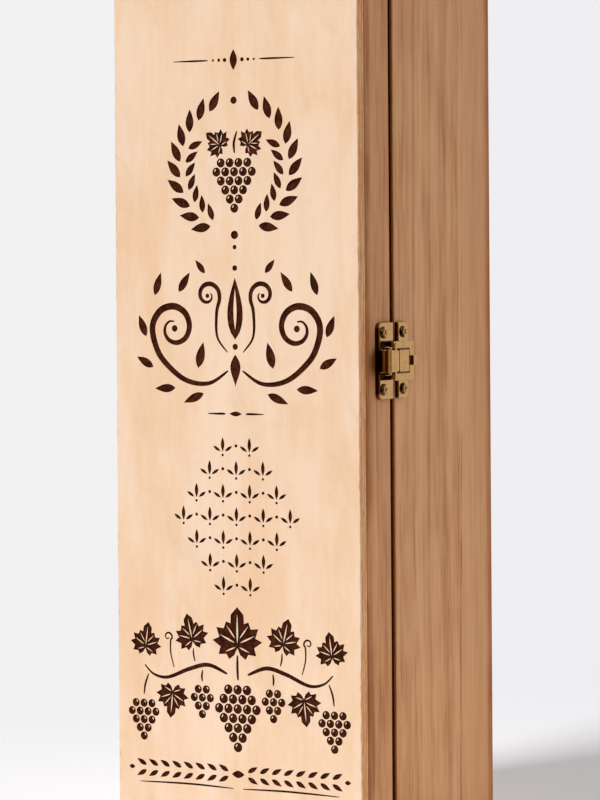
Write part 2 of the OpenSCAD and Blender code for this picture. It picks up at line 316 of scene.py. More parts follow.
@dataclass(frozen=True)
class Pine(Finish):
    """Planed raw pine with its growth lines drawn through the solid board.

    The pith is where the growth rings have their middle. A board may have a resin streak at a y, a shade about a
    y with its reach and its depth, and a painted shadow of the latch on its outer face at a y and z.
    """

    grain: Run
    pith: tuple[float, float]
    seed: float
    tones: tuple[Colour, Colour] = (paint(241, 183, 131), paint(174, 94, 30))
    resin: float | None = None
    shade: tuple[float, float, float] | None = None
    latch_shadow: tuple[float, float] | None = None
    end_grain: bool = False

    def lay(self, bench: Bench) -> None:
        """Adds the board's bands, growth lines, streaks and fibres.

        Args:
            bench: the workbench of the finish's nodes.
        """
        x, y, z = bench.place()
        along, across = (z, x) if self.grain is Run.UP else (x, z)
        drift = bench.cloud(across / 45 + self.seed, y / 45, along / 230)
        off_a, off_b = across - self.pith[0], y - self.pith[1]
        ring = (off_a * off_a + off_b * off_b) ** 0.5 + drift * 12 + self.seed * 31
        band, line, hair = bench.bands(ring / 9), bench.bands(ring / 2.9), bench.bands(ring / 1.1)
        streak = bench.cloud(across / 2.2, y / 2.2 + self.seed, along / 24, 3.0, 0.6)
        fibre = bench.cloud(across / 0.8, y / 0.8, along / 30 + self.seed, 2.0, 0.55)
        blotch = bench.cloud(across / 16, y / 16 + self.seed, along / 34)
        late = bench.step(line, 0.55, 0.72) * bench.step(streak, 0.30, 0.62)
        broken = bench.step(streak, 0.28, 0.66)
        seam = 1 - bench.step((bench.bands(ring / 5.2 + 40) - 0.5).size(), 0.0, 0.06)
        mark, calm = self._resin(bench, y - (z - MID_Z) * 0.0125 - (drift - 0.5) * 2, streak)
        depth = (band - 0.5) * 0.8 + (blotch - 0.5) * 0.8 + late * 0.18 + (hair - 0.5) * broken * 0.12
        depth = (depth + (streak - 0.5) * 0.6 + seam * (0.08 + broken * 0.12)) * calm
        depth = depth + (fibre - 0.5) * 0.45 + mark * 0.6 + (0.58 if self.end_grain else 0.18)
        if self.shade is not None:
            edge, reach, most = self.shade
            depth = depth + (1 - bench.step((y - edge).size(), 0.0, reach)) * (blotch + 0.5) * most
        colour = bench.between(bench.step(depth, -0.15, 1.15), *self.tones)
        blush = bench.cloud(across / 1.5 + 3, y / 1.5, along / 26, 2.0, 0.6)
        colour = bench.coated(colour, (bench.step(blush, 0.48, 0.74) * 0.30, paint(226, 146, 92)))
        if self.latch_shadow is not None:
            # Painted shadow: a soft dark patch on the outer face beside the latch
            off_y, off_z = (y - self.latch_shadow[0]) / 5.0, (z - self.latch_shadow[1]) / 6.5
            near = 1 - bench.step((off_y * off_y + off_z * off_z) ** 0.5 + (streak - 0.5) * 0.6, 0.3, 1.1)
            outside = bench.step(x, SIDE_X - 1.0, SIDE_X - 0.5)
            colour = bench.coated(colour, (near * outside * 0.8, paint(106, 54, 16)))
        relief = fibre * 0.8 + hair * 0.1 + line * 0.1
        bench.surface(colour, 0.60 + fibre * 0.16, relief, 0.04, 0.4, 0.26)

    def _resin(self, bench: Bench, y: Value, streak: Value) -> tuple[object, object]:
        """How strong the resin streak is at a y, and how strong the grain is that it leaves.

        Args:
            bench: the workbench of the finish's nodes.
            y: the place's y, moved along as the streak leans.
            streak: the board's streaks.

        Returns:
            The streak's strength and the grain's.
        """
        if self.resin is None:
            return 0.0, 1.0
        off = y - self.resin
        mark = (1 - bench.step(off.size(), 0.15, 0.7)) * (0.5 + bench.step(streak, 0.25, 0.6) * 0.3)
        return mark, 1 - bench.step(off, 0.0, 1.5) * 0.7


@dataclass(frozen=True)
class PlyFace(Finish):
    """The pale face veneer of the plywood panels, with a soft cloudy figure."""

    seed: float = 0.0
    pale: Colour = paint(247, 217, 190)
    deep: Colour = paint(240, 199, 160)

    def lay(self, bench: Bench) -> None:
        """Adds the veneer's clouds, ribbons and pores, and the wear of its side edges.

        Args:
            bench: the workbench of the finish's nodes.
        """
        x, y, z = bench.place()
        cloud = bench.cloud(x / 26 + self.seed, y / 26, z / 62, 3.0, 0.55, 0.6)
        ribbon = bench.cloud(x / 7, y / 7 + self.seed, z / 46, 3.0, 0.6, 1.2)
        ripple = bench.cloud(x / 2.6, y / 3, z / 4.5 + self.seed, 2.0, 0.6)
        fibre = bench.cloud(x / 0.5, y / 0.5, z / 16, 2.0, 0.6)
        pore = bench.cloud(x / 0.32, y / 0.32 + self.seed, z / 3.6, 1.0, 0.5)
        veil = bench.cloud(x / 13 + z / 40, y / 13, z / 24 + self.seed, 3.0, 0.6, 0.8)
        fleck = bench.step(pore, 0.68, 0.78) * bench.step(ribbon, 0.42, 0.6)
        worn = bench.step(x.size() + (ripple - 0.5) * 1.3, SIDE_X - 0.45, SIDE_X) * bench.step(ribbon, 0.36, 0.6)
        depth = (cloud - 0.5) * 1.5 + (ribbon - 0.5) * 0.9 + (ripple - 0.5) * 0.34 + (fibre - 0.5) * 0.22 + 0.46
        colour = bench.coated(bench.between(bench.step(depth, 0.0, 1.0), self.pale, self.deep),
                              (bench.step(veil, 0.50, 0.74) * 0.30, paint(226, 194, 160)),
                              (fleck * 0.22, paint(206, 152, 108)), (worn * 0.6, paint(186, 112, 62)))
        bench.surface(colour, 0.5 + fibre * 0.14, fibre * 0.6 + pore * 0.4, 0.03, 0.5, 0.35)


@dataclass(frozen=True)
class PlyEdge(Finish):
    """The sawn edge of a plywood panel: thin veneers, end grain and a little scorching."""

    front: float
    back: float

    def lay(self, bench: Bench) -> None:
        """Adds the plies and the rough saw marks.

        Args:
            bench: the workbench of the finish's nodes.
        """
        x, y, z = bench.place()
        rough = bench.cloud(x / 1.6, y, z / 3.5, 3.0, 0.7)
        ragged = (y - self.front) / (self.back - self.front) + (rough - 0.5) * 0.10
        speck = bench.cloud(x / 0.9, y / 0.9, z / 3.2, 3.0, 0.65)
        long = bench.cloud(x / 9, y / 1.6, z / 18, 2.0, 0.6)
        core = bench.step(ragged, 0.26, 0.32) * (1 - bench.step(ragged, 0.70, 0.76))
        glue = 1 - bench.step((ragged - 0.29).size().under((ragged - 0.73).size()), 0.02, 0.06)
        grain = bench.step(speck * 0.5 + long * 0.5, 0.42, 0.58)
        colour = bench.coated(bench.between(grain, paint(236, 162, 108), paint(250, 198, 144)),
                              (core * 0.25, paint(214, 146, 94)), (glue * 0.42, paint(160, 98, 56)),
                              (bench.step(speck, 0.60, 0.72) * 0.5, paint(255, 228, 192)),
                              (bench.step(ragged, 0.88, 0.98) * 0.7, paint(120, 72, 40)))
        bench.surface(colour, 0.66 + speck * 0.2, speck * 0.7 + long * 0.3, 0.16, 0.7, 0.25)


@dataclass(frozen=True)
class Scorch(Finish):
    """Wood burnt away by the engraving, matt and dark brown."""

    dark: Colour = paint(48, 16, 5)
    light: Colour = paint(84, 38, 16)

    def lay(self, bench: Bench) -> None:
        """Adds the char's uneven browns.

        Args:
            bench: the workbench of the finish's nodes.
        """
        x, y, z = bench.place()
        soot = bench.cloud(x / 1.4, y / 1.4, z / 2.2, 3.0, 0.6)
        row = bench.cloud(x / 5, y, z / 0.28, 1.0, 0.5)
        tone = bench.between(bench.step(soot * 0.7 + row * 0.3, 0.36, 0.66), self.dark, self.light)
        bench.surface(tone, 0.85, soot * 0.5 + row * 0.5, 0.10, 0.6, 0.08)


@dataclass(frozen=True)
class RimCut(Finish):
    """The sawn rim of a half: open wood, with painted shade along the outer arris of the sides for the dark gap
    between the rims.
    """

    gap_shade: tuple[float, float] = (47.6, 48.3)
    arris: tuple[float, float] = (48.75, 49.25)

    def lay(self, bench: Bench) -> None:
        """Adds the saw marks and the painted shade of the gap.

        Args:
            bench: the workbench of the finish's nodes.
        """
        x, y, z = bench.place()
        row = bench.cloud(x / 6, y, z / 0.5, 2.0, 0.6)
        soot = bench.cloud(x / 1.2, y / 1.2, z / 3, 3.0, 0.6)
        edge = x.size() + (soot - 0.5) * 0.5
        sawn = bench.step(row * 0.6 + soot * 0.4, 0.36, 0.64)
        colour = bench.coated(bench.between(sawn, paint(208, 150, 100), paint(238, 188, 140)),
                              # Painted shade: near-black just inside the arris, then a brown strip on the arris
                              # itself
                              (bench.step(edge, *self.gap_shade) * 0.95, paint(40, 16, 6)),
                              (bench.step(edge, *self.arris), paint(196, 108, 46)))
        bench.surface(colour, 0.8, row * 0.7 + soot * 0.3, 0.10, 0.6, 0.15)


@dataclass(frozen=True)
class Brass(Finish):
    """Yellow brass plate, bright on its faces and a little tarnished.

    Its last four fields paint patina and shade into the colour: patina with painted shade below two heights x above
    the wood, fading between them, a painted dark reflection outside a shoulder at a y, painted dark crescents round
    screw heads at a y, and painted shade under the lever as far as a distance from the latch's middle.
    """

    tone: Colour = paint(199, 153, 94)
    tarnish: Colour = paint(122, 74, 38)
    amount: float = 0.35
    rough: float = 0.11
    relief: float = 0.12
    low_patina_and_shade: tuple[float, float] | None = None
    shoulder: float | None = None
    heads: float | None = None
    shaded: float | None = None

    def lay(self, bench: Bench) -> None:
        """Adds the tarnish, the patina with painted shade and dark reflections, and fine handling marks.

        Args:
            bench: the workbench of the finish's nodes.
        """
        x, y, z = bench.place()
        haze = bench.cloud(x / 2.2, y / 2.2, z / 2.2, 3.0, 0.6)
        scratch = bench.cloud(x / 0.5, y / 0.12, z / 1.5, 2.0, 0.6)
        colour = bench.coated(bench.between(bench.step(haze, 0.45, 0.8) * self.amount, self.tone, self.tarnish),
                              *self._patina_and_painted_shade(bench, x, y, (z - MID_Z).size(), haze))
        bench.surface(colour, self.rough + haze * 0.07, haze * 0.7 + scratch * 0.3, 0.01, self.relief, metal=1.0)

    def _patina_and_painted_shade(self, bench: Bench, x: Value, y: Value, off_z: Value, haze: Value) -> Iterator[tuple[Value, Colour]]:
        """Where patina, painted shade and painted dark reflections lie, and their colours.

        Args:
            bench: the workbench of the finish's nodes.
            x: the place's x.
            y: its y.
            off_z: its distance above or below the latch's middle.
            haze: noise that breaks the dirt's edges.

        Returns:
            The masks and their colours, from the lowest coat up.
        """
        if self.low_patina_and_shade is not None:
            # Patina and painted shade: the colour darkens below a height above the wood, at the foot of the plates'
            # flanks and over the lower side of the lever's barrel
            yield 1 - bench.step(x + (haze - 0.5) * 0.5, *self.low_patina_and_shade), paint(66, 28, 12)
        if self.shoulder is not None:
            # Painted dark reflection: a band of the flat along the plate's free edge is darkened, leaving the corners
            # bright
            flat_part = bench.step(y + (haze - 0.5) * 0.4 - self.shoulder, 0.4, 1.5)
            yield (1 - flat_part.over(bench.step(off_z, 12.2, 13.2))) * 0.88, paint(58, 22, 8)
        if self.heads is not None:
            # Painted dark reflection: a dark crescent round the front side of each screw head
            side, rise = y - self.heads, off_z - Latch.screw_z
            rim = bench.step((side * side + rise * rise) ** 0.5, 1.15, 1.5)
            yield rim * bench.step(0 - side, 0.1, 0.8) * 0.88, paint(60, 24, 8)
        if self.shaded is not None:
            # Painted shade: the flats under the lever and its barrel are darkened as far as a distance from the
            # latch's middle
            under = 1 - bench.step(off_z, self.shaded - 0.9, self.shaded)
            yield under * (1 - bench.step(x, SIDE_X + 1.6, SIDE_X + 1.9)) * 0.92, paint(44, 20, 8)


@dataclass(frozen=True)
class NailSteel(Finish):
    """Bright steel of the nail heads, dulled by the hammer."""

    def lay(self, bench: Bench) -> None:
        """Adds the dull patches.

        Args:
            bench: the workbench of the finish's nodes.
        """
        x, y, z = bench.place()
        dent = bench.cloud(x / 0.8, y / 0.8, z / 0.8, 2.0, 0.6)
        tone = bench.between(bench.step(dent, 0.4, 0.7), paint(196, 194, 188), paint(142, 138, 130))
        bench.surface(tone, 0.3 + dent * 0.25, dent, 0.06, 0.5, metal=1.0)


@dataclass(frozen=True)
class FloorPaint(Finish):
    """The studio floor: matt and pale near the box, then fading out.

    The camera and gloss see it a little paler than it lights the box, and sooner faded in front and at the left.
    """

    front: float = 1.6
    left: float = 1.4
    fade: tuple[float, float] = (180.0, 900.0)

    def lay(self, bench: Bench) -> None:
        """Adds the floor's paint and its fade.

        Args:
            bench: the workbench of the finish's nodes.
        """
        x, y, _ = bench.place()
        path = bench.node("ShaderNodeLightPath", output="Is Camera Ray")
        seen = path.over(path.beside("Is Glossy Ray"))
        sooner = (0 - y).over(0.0) * self.front + (0 - x).over(0.0) * self.left
        away = (x * x + y * y) ** 0.5 + sooner * seen
        matt = bench.node("ShaderNodeBsdfDiffuse", inputs={"Color": (0.90, 0.893, 0.912)})
        glow = bench.node("ShaderNodeEmission", inputs={"Color": (0.072, 0.072, 0.074), "Strength": 1.0})
        both = bench.node("ShaderNodeAddShader", inputs={0: matt, 1: glow})
        dim = bench.node("ShaderNodeBsdfDiffuse", inputs={"Color": (0.82, 0.812, 0.82)})
        near = bench.node("ShaderNodeMixShader", inputs={0: seen, 1: dim, 2: both})
        clear = bench.node("ShaderNodeBsdfTransparent")
        mixed = bench.node("ShaderNodeMixShader", inputs={0: bench.step(away, *self.fade), 1: near, 2: clear})
        bench.node("ShaderNodeOutputMaterial", inputs={"Surface": mixed})


# ---- Mesh workbench ----


def blank(low: Sequence[float], high: Sequence[float]) -> Mesh:
    """A plain block between two corners, ready to be worked.

    Args:
        low: the lowest corner.
        high: the highest corner.

    Returns:
        The block's mesh.
    """
    shape = bmesh.new()
    low, high = Vector(low), Vector(high)
    bmesh.ops.create_cube(shape, size=1.0, matrix=Matrix.Translation((low + high) / 2)
                          @ Matrix.Diagonal((*(high - low), 1.0)))
    return shape


def ease(shape: Mesh, edges: Iterable[bmesh.types.BMEdge], width: float, segments: int = 3) -> None:
    """Rounds edges over.

    Args:
        shape: the mesh.
        edges: the edges to round.
        width: how far the rounding reaches from each edge.
        segments: how many strips make the rounding.
    """
    bmesh.ops.bevel(shape, geom=list(edges), offset=width, offset_type="OFFSET", segments=segments, profile=0.5,
                    affect="EDGES", clamp_overlap=True, material=-1)


def sharp(shape: Mesh, degrees: float = 60.0) -> Edges:
    """The edges whose faces meet at more than an angle."""
    return [edge for edge in shape.edges
            if len(edge.link_faces) == 2 and edge.calc_face_angle(0.0) > math.radians(degrees)]


def at_level(edges: Edges, axis: int, level: float) -> Edges:
    """Those edges that lie at one level along an axis: 0 for x, 1 for y or 2 for z."""
    return [edge for edge in edges if all(abs(vert.co[axis] - level) < NEAR for vert in edge.verts)]


def square_to(edges: Edges, axis: int, keep: bool = True) -> Edges:
    """Those edges that run square to an axis, or with keep as False those that don't."""
    return [edge for edge in edges if (abs(edge.verts[0].co[axis] - edge.verts[1].co[axis]) < NEAR) == keep]


def rod(radius: float, length: float, centre: Sequence[float], run: Run, sides: int,
        end_radius: float | None = None) -> Mesh:
    """A closed round bar, or a cone where end_radius is given.

    Args:
        radius: the radius at the low end.
        length: its length along the axis.
        centre: the middle of the bar.
        run: the axis that it runs along.
        sides: how many sides the round has.
        end_radius: the radius at the high end.

    Returns:
        The bar's mesh.
    """
    turn = Matrix.Rotation(math.pi / 2, 4, "Y") if run is Run.ACROSS else Matrix.Identity(4)
    shape = bmesh.new()
    bmesh.ops.create_cone(shape, cap_ends=True, segments=sides, radius1=radius,
                          radius2=radius if end_radius is None else end_radius, depth=length,
                          matrix=Matrix.Translation(centre) @ turn)
    return shape


def plate(points: Sequence[Sequence[float]], push: Sequence[float]) -> Mesh:
    """A flat outline pushed into a solid.

    Args:
        points: the outline's corners.
        push: how far the outline is pushed.

    Returns:
        The solid's mesh.
    """
    shape = bmesh.new()
    face = shape.faces.new([shape.verts.new(point) for point in points])
    grown = bmesh.ops.extrude_face_region(shape, geom=[face], use_keep_orig=True)
    bmesh.ops.translate(shape, vec=Vector(push),
                        verts=[part for part in grown["geom"] if isinstance(part, bmesh.types.BMVert)])
    bmesh.ops.recalc_face_normals(shape, faces=shape.faces)
    return shape


def add(shape: Mesh, other: Mesh) -> None:
    """Puts another mesh into this one and frees the other.

    Args:
        shape: the mesh that grows.
        other: the mesh that is used up.
    """
    spare = bpy.data.meshes.new("spare")
    other.to_mesh(spare)
    other.free()
    shape.from_mesh(spare)
    bpy.data.meshes.remove(spare)


def in_mm(mesh: bpy.types.Mesh) -> Mesh:
    """A mesh in metres, opened to be worked in millimetres.

    Args:
        mesh: the mesh, which stays as it is.

    Returns:
        The working copy.
    """
    shape = bmesh.new()
    shape.from_mesh(mesh)
    bmesh.ops.scale(shape, vec=(1 / MM,) * 3, verts=shape.verts)
    return shape


def reopen(piece: bpy.types.Object) -> Mesh:
    """Takes a piece back to the bench and removes its object.

    Args:
        piece: the finished piece.

    Returns:
        Its mesh.
    """
    shape = in_mm(piece.data)
    bpy.data.objects.remove(piece)
    return shape


def finish_piece(name: str, shape: Mesh, finishes: Sequence[Finish], smooth: float | None = None) -> bpy.types.Object:
    """Turns a worked mesh in millimetres into a dressed object in metres.

    Args:
        name: the object's name.
        shape: the mesh, which is freed.
        finishes: one finish for each material number.
        smooth: the angle under which edges look smooth, or None for flat faces.

    Returns:
        The object.
    """
    bmesh.ops.scale(shape, vec=(MM, MM, MM), verts=shape.verts)
    for face in shape.faces:
        face.smooth = smooth is not None
    if smooth is not None:
        for edge in shape.edges:
            edge.smooth = len(edge.link_faces) == 2 and edge.calc_face_angle(0.0) < math.radians(smooth)
    mesh = bpy.data.meshes.new(name)
    shape.to_mesh(mesh)
    shape.free()
    for finish in finishes:
        mesh.materials.append(finish.make())
    piece = bpy.data.objects.new(name, mesh)
    bpy.context.scene.collection.objects.link(piece)
    if smooth is not None:
        piece.modifiers.new("even_light", "WEIGHTED_NORMAL").keep_sharp = True
    return piece


def carve(piece: bpy.types.Object, tool: Mesh) -> None:
    """Cuts a tool's shape, in millimetres, out of a finished piece.

    Args:
        piece: the piece that is cut.
        tool: the shape that is cut away, which is used up.
    """
    cutter = finish_piece("cutter", tool, [])
    others = list(piece.modifiers)
    modifier = piece.modifiers.new("carve", "BOOLEAN")
    modifier.operation, modifier.solver, modifier.object = "DIFFERENCE", "EXACT", cutter
    modifier.use_self = True
    for other in others:
        other.show_viewport = False
    cut = bpy.data.meshes.new_from_object(piece.evaluated_get(bpy.context.evaluated_depsgraph_get()))
    for other in others:
        other.show_viewport = True
    piece.modifiers.remove(modifier)
    old, piece.data = piece.data, cut
    cut.name = piece.name
    bpy.data.meshes.remove(old)
    bpy.data.objects.remove(cutter)


def box_mm(node: str) -> tuple[Vector, Vector]:
    """The corners of a CAD node, in millimetres."""
    low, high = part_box(node)
    return Vector(low) / MM, Vector(high) / MM


def settle(piece: bpy.types.Object, body: Body, material_slot: Slot, node: str) -> None:
    """Lets a piece ride on its body and stand for its node, and reports it.

    Args:
        piece: the finished piece.
        body: the body that it rides on.
        material_slot: its material slot; not used.
        node: the CAD node that it stands for.
    """
    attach(piece, body.value)
    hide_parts(node)
    LOG.info("%s rides on %s and stands for %s", piece.name, body.value, node)


# ---- Woodwork ----


@dataclass
class Board:
    """One board of the box, worked from the box of its node. Its rim faces +Y or -Y, as rim_side says."""

    node: str
    body: Body
    finish: Pine
    edge_round: float
    rim_side: int
    rim_wave: float = 0.0
    tools: list[Callable[[], Mesh]] = field(default_factory=list)

    def build(self) -> None:
        """Planes, eases and carves the board."""
        low, high = box_mm(self.node)
        shape = blank(low, high)
        if self.rim_wave:
            self._wander_rim(shape, low, high)
        ease(shape, sharp(shape), self.edge_round)
        shape.normal_update()
        for face in shape.faces:
            face.material_index = 1 if abs(face.normal[self.finish.grain.value]) > 0.75 else 0
            if face.normal.y * self.rim_side > 0.8:
                face.material_index = 2
        end = replace(self.finish, name=self.finish.name + "_end", end_grain=True)
        piece = finish_piece(self.node + "_wood", shape, [self.finish, end, RimCut("sawn_rim_gap_shade")])
        for tool in self.tools:
            carve(piece, tool())
        settle(piece, self.body, Slot.PINE, self.node)

    def _wander_rim(self, shape: Mesh, low: Vector, high: Vector, steps: int = 58) -> None:
        """Lets the board's rim wander a little along its length, as a hand-fed saw leaves it.

        Args:
            shape: the board's blank.
            low: its lowest corner.
            high: its highest corner.
            steps: how many lengths the board is cut into.
        """
        for number in range(1, steps):
            height = low.z + (high.z - low.z) * number / steps
            bmesh.ops.bisect_plane(shape, geom=shape.verts[:] + shape.edges[:] + shape.faces[:], dist=1e-5,
                                   plane_co=(0, 0, height), plane_no=(0, 0, 1))
        rim = high.y if self.rim_side > 0 else low.y
        for vert in shape.verts:
            if abs(vert.co.y - rim) < 0.01:
                broad = noise.noise(Vector((vert.co.z / 48, self.rim_side * 7.3, 0.5)))
                fine = noise.noise(Vector((vert.co.z / 9, 2.1, self.rim_side * 3.7)))
                vert.co.y -= self.rim_side * (self.rim_wave * (0.5 + broad * 0.8) + fine * 0.05)


@dataclass
class Nails:
    """The nails of one half: domed heads a hair below the wood."""

    node: str
    body: Body
    ys: tuple[float, ...]
    zs: tuple[float, float] = (4.0, 346.0)
    head_r: float = 1.3
    head_t: float = 0.6
    shank_r: float = 0.7
    shank_length: float = 21.0
    overlap: float = 0.1
    sink: float = 0.04
    play: float = 0.05

    def places(self) -> list[tuple[float, float, float]]:
        """Where each nail's head meets the wood: the side, then y and z."""
        return [(side, y, z) for side in (-1.0, 1.0) for y in self.ys for z in self.zs]

    def holes(self, side: float) -> Mesh:
        """The tool that sinks one side board's nail heads.

        Args:
            side: 1 for the latch side, -1 for the hinge side.

        Returns:
            The tool's mesh.
        """
        shape = bmesh.new()
        for nail_side, y, z in self.places():
            if nail_side == side:
                add(shape, rod(self.head_r + self.play, 2 * (self.head_t + self.play), (side * SIDE_X, y, z),
                               Run.ACROSS, 24))
        return shape

    def build(self) -> None:
        """Makes every nail of this half as one object."""
        shape = bmesh.new()
        shank_in = self.head_t + self.shank_length / 2 - self.overlap
        for side, y, z in self.places():
            outer = side * (SIDE_X - self.sink)
            head = rod(self.head_r, self.head_t, (outer - side * self.head_t / 2, y, z), Run.ACROSS, 24)
            ease(head, at_level(sharp(head), 0, outer), 0.3)
            add(shape, head)
            add(shape, rod(self.shank_r, self.shank_length, (outer - side * shank_in, y, z), Run.ACROSS, 16))
        piece = finish_piece(self.node + "_steel", shape, [NailSteel("nail_steel")], 30)
        settle(piece, self.body, Slot.STEEL, self.node)


@dataclass
class Panel:
    """A plywood panel with eased edges."""

    node: str
    body: Body
    face: PlyFace
    edge_round: float = 0.35

    def shape(self) -> Mesh:
        """The plain panel with its sawn edges numbered 2.

        Returns:
            The panel's mesh.
        """
        shape = blank(*box_mm(self.node))
        ease(shape, shape.edges[:], self.edge_round)
        shape.normal_update()
        for face in shape.faces:
            face.material_index = 0 if abs(face.normal.y) > 0.45 else 2
        return shape

    def build(self) -> None:
        """Makes the panel."""
        low, high = box_mm(self.node)
        piece = finish_piece(self.node + "_ply", self.shape(),
                             [self.face, Scorch("scorch"), PlyEdge("ply_edge_" + self.node, low.y, high.y),
                              # The engraving's walls: char painted darker than its floors, as painted shade along the
                              # strokes' edges
                              Scorch("scorch_wall_shade", paint(26, 7, 2), paint(58, 22, 8))])
        settle(piece, self.body, Slot.PLYWOOD, self.node)


@dataclass
class Tray:
    """The deep half: two sides, two ends, the back panel and its nails."""

    clearance: float = 0.1

    def _rabbet(self) -> Mesh:
        """The tool for the rabbet that the back panel lies in.

        Returns:
            The tool's mesh.
        """
        low, high = box_mm("tray_back_panel")
        return blank((low.x - self.clearance, low.y, low.z - self.clearance),
                     (high.x + self.clearance, high.y + 1, high.z + self.clearance))

    def build(self) -> None:
        """Builds the tray's woodwork."""
        nails = Nails("tray_nails", Body.TRAY, (-19.5, 10.35, 40.2))
        right = Pine("pine_tray_right", Run.UP, (35.0, -170.0), 1.0, resin=26.3, shade=(50.0, 7.0, 0.75))
        left = Pine("pine_tray_left", Run.UP, (-30.0, 190.0), 2.7, BOUNCE_LIT_TONES)
        Board("tray_right_side", Body.TRAY, right, 0.6, -1, 0.28, [self._rabbet, lambda: nails.holes(1.0)]).build()
        Board("tray_left_side", Body.TRAY, left, 0.6, -1, tools=[self._rabbet, lambda: nails.holes(-1.0)]).build()
        for node, seed, pith in (("tray_top_end", 4.1, (420.0, -60.0)), ("tray_bottom_end", 5.3, (-90.0, 80.0))):
            Board(node, Body.TRAY, Pine("pine_" + node, Run.ACROSS, pith, seed, BOUNCE_LIT_TONES), 0.3, -1,
                  tools=[self._rabbet]).build()
        Panel("tray_back_panel", Body.TRAY, PlyFace("ply_back", 5.0), 0.3).build()
        nails.build()


# ---- Engraving ----


def disc(x: float, z: float, radius: float, count: int = 20) -> Outline:
    """A round outline."""
    return [(x + radius * math.cos(math.tau * i / count), z + radius * math.sin(math.tau * i / count))
            for i in range(count)]


def turned(points: Iterable[tuple[float, float]], x: float, z: float, size: float, degrees: float) -> Outline:
    """Sizes an outline, turns it from pointing up and puts its foot at a place.

    Args:
        points: the outline, with its foot at 0.
        x: the foot's place across the panel.
        z: the foot's height.
        size: how many times larger it becomes.
        degrees: how far it turns clockwise.

    Returns:
        The outline in its place.
    """
    angle = math.radians(degrees)
    return [(x + size * (px * math.cos(angle) + pz * math.sin(angle)),
             z + size * (pz * math.cos(angle) - px * math.sin(angle))) for px, pz in points]


def petal(x: float, z: float, length: float, width: float, degrees: float, belly: float = 0.42,
          count: int = 9) -> Outline:
    """A pointed leaf.

    Args:
        x: its foot's place across the panel.
        z: its foot's height.
        length: from the foot to the tip.
        width: across the widest place.
        degrees: where the tip points, clockwise from up.
        belly: how far up the widest place is, from 0 to 1.
        count: points along each side.

    Returns:
        The outline.
    """
    power = math.log(0.5) / math.log(belly)
    right = [(0.5 * width / length * math.sin(math.pi * (i / count) ** power), i / count) for i in range(count + 1)]
    left = [(-px, pz) for px, pz in reversed(right[1:-1])]
    return turned(right + left, x, z, length, degrees)


def curve_points(knots: Sequence[tuple[float, float]], count: int) -> Outline:
    """A smooth line through knots, with count points between each two.

    Args:
        knots: the points that the line runs through.
        count: how many points each two knots give.

    Returns:
        The line's points.
    """
    line: Outline = []
    padded = [knots[0], *knots, knots[-1]]
    for a, b, c, d in zip(padded, padded[1:], padded[2:], padded[3:]):
        for i in range(count):
            t = i / count
            line.append(tuple(0.5 * (2 * b[k] + (c[k] - a[k]) * t + (2 * a[k] - 5 * b[k] + 4 * c[k] - d[k]) * t * t
                                     + (3 * b[k] - a[k] - 3 * c[k] + d[k]) * t ** 3) for k in (0, 1)))
    line.append(knots[-1])
    return line


def stroke(knots: Sequence[tuple[float, float]], width: float, ends: float = 0.25, swell: float = 0.5,
           count: int = 8) -> Outline:
    """A brush stroke along a smooth line.

    Args:
        knots: the points that the stroke runs through.
        width: its greatest width.
        ends: the width at its ends as a share of that.
        swell: how far along it is widest, from 0 to 1.
        count: points between two knots.

    Returns:
        The outline.
    """
    line = curve_points(knots, count)
    power = math.log(0.5) / math.log(swell)
    sides: tuple[Outline, Outline] = ([], [])
    for i, (x, z) in enumerate(line):
        ahead, behind = line[min(i + 1, len(line) - 1)], line[max(i - 1, 0)]
        dx, dz = ahead[0] - behind[0], ahead[1] - behind[1]
        length = math.hypot(dx, dz) or 1.0
        half = 0.5 * width * (ends + (1 - ends) * math.sin(math.pi * (i / (len(line) - 1)) ** power))
        sides[0].append((x - dz / length * half, z + dx / length * half))
        sides[1].append((x + dz / length * half, z - dx / length * half))
    return sides[0] + sides[1][::-1]


def curl(x: float, z: float, radius: float, start: float, turns: float, inner: float = 0.25) -> Outline:
    """Knots of a spiral from its rim inwards; negative turns run clockwise.

    Args:
        x: its middle's place across the panel.
        z: its middle's height.
        radius: the rim's radius.
        start: the angle of its first knot, in degrees.
        turns: how many turns it makes.
        inner: the last knot's radius as a share of the rim's.

    Returns:
        The knots.
    """
    count = max(5, int(abs(turns) * 9))
    steps = [(radius * (1 - (1 - inner) * i / count), math.radians(start) + math.tau * turns * i / count)
             for i in range(count + 1)]
    return [(x + reach * math.cos(angle), z + reach * math.sin(angle)) for reach, angle in steps]


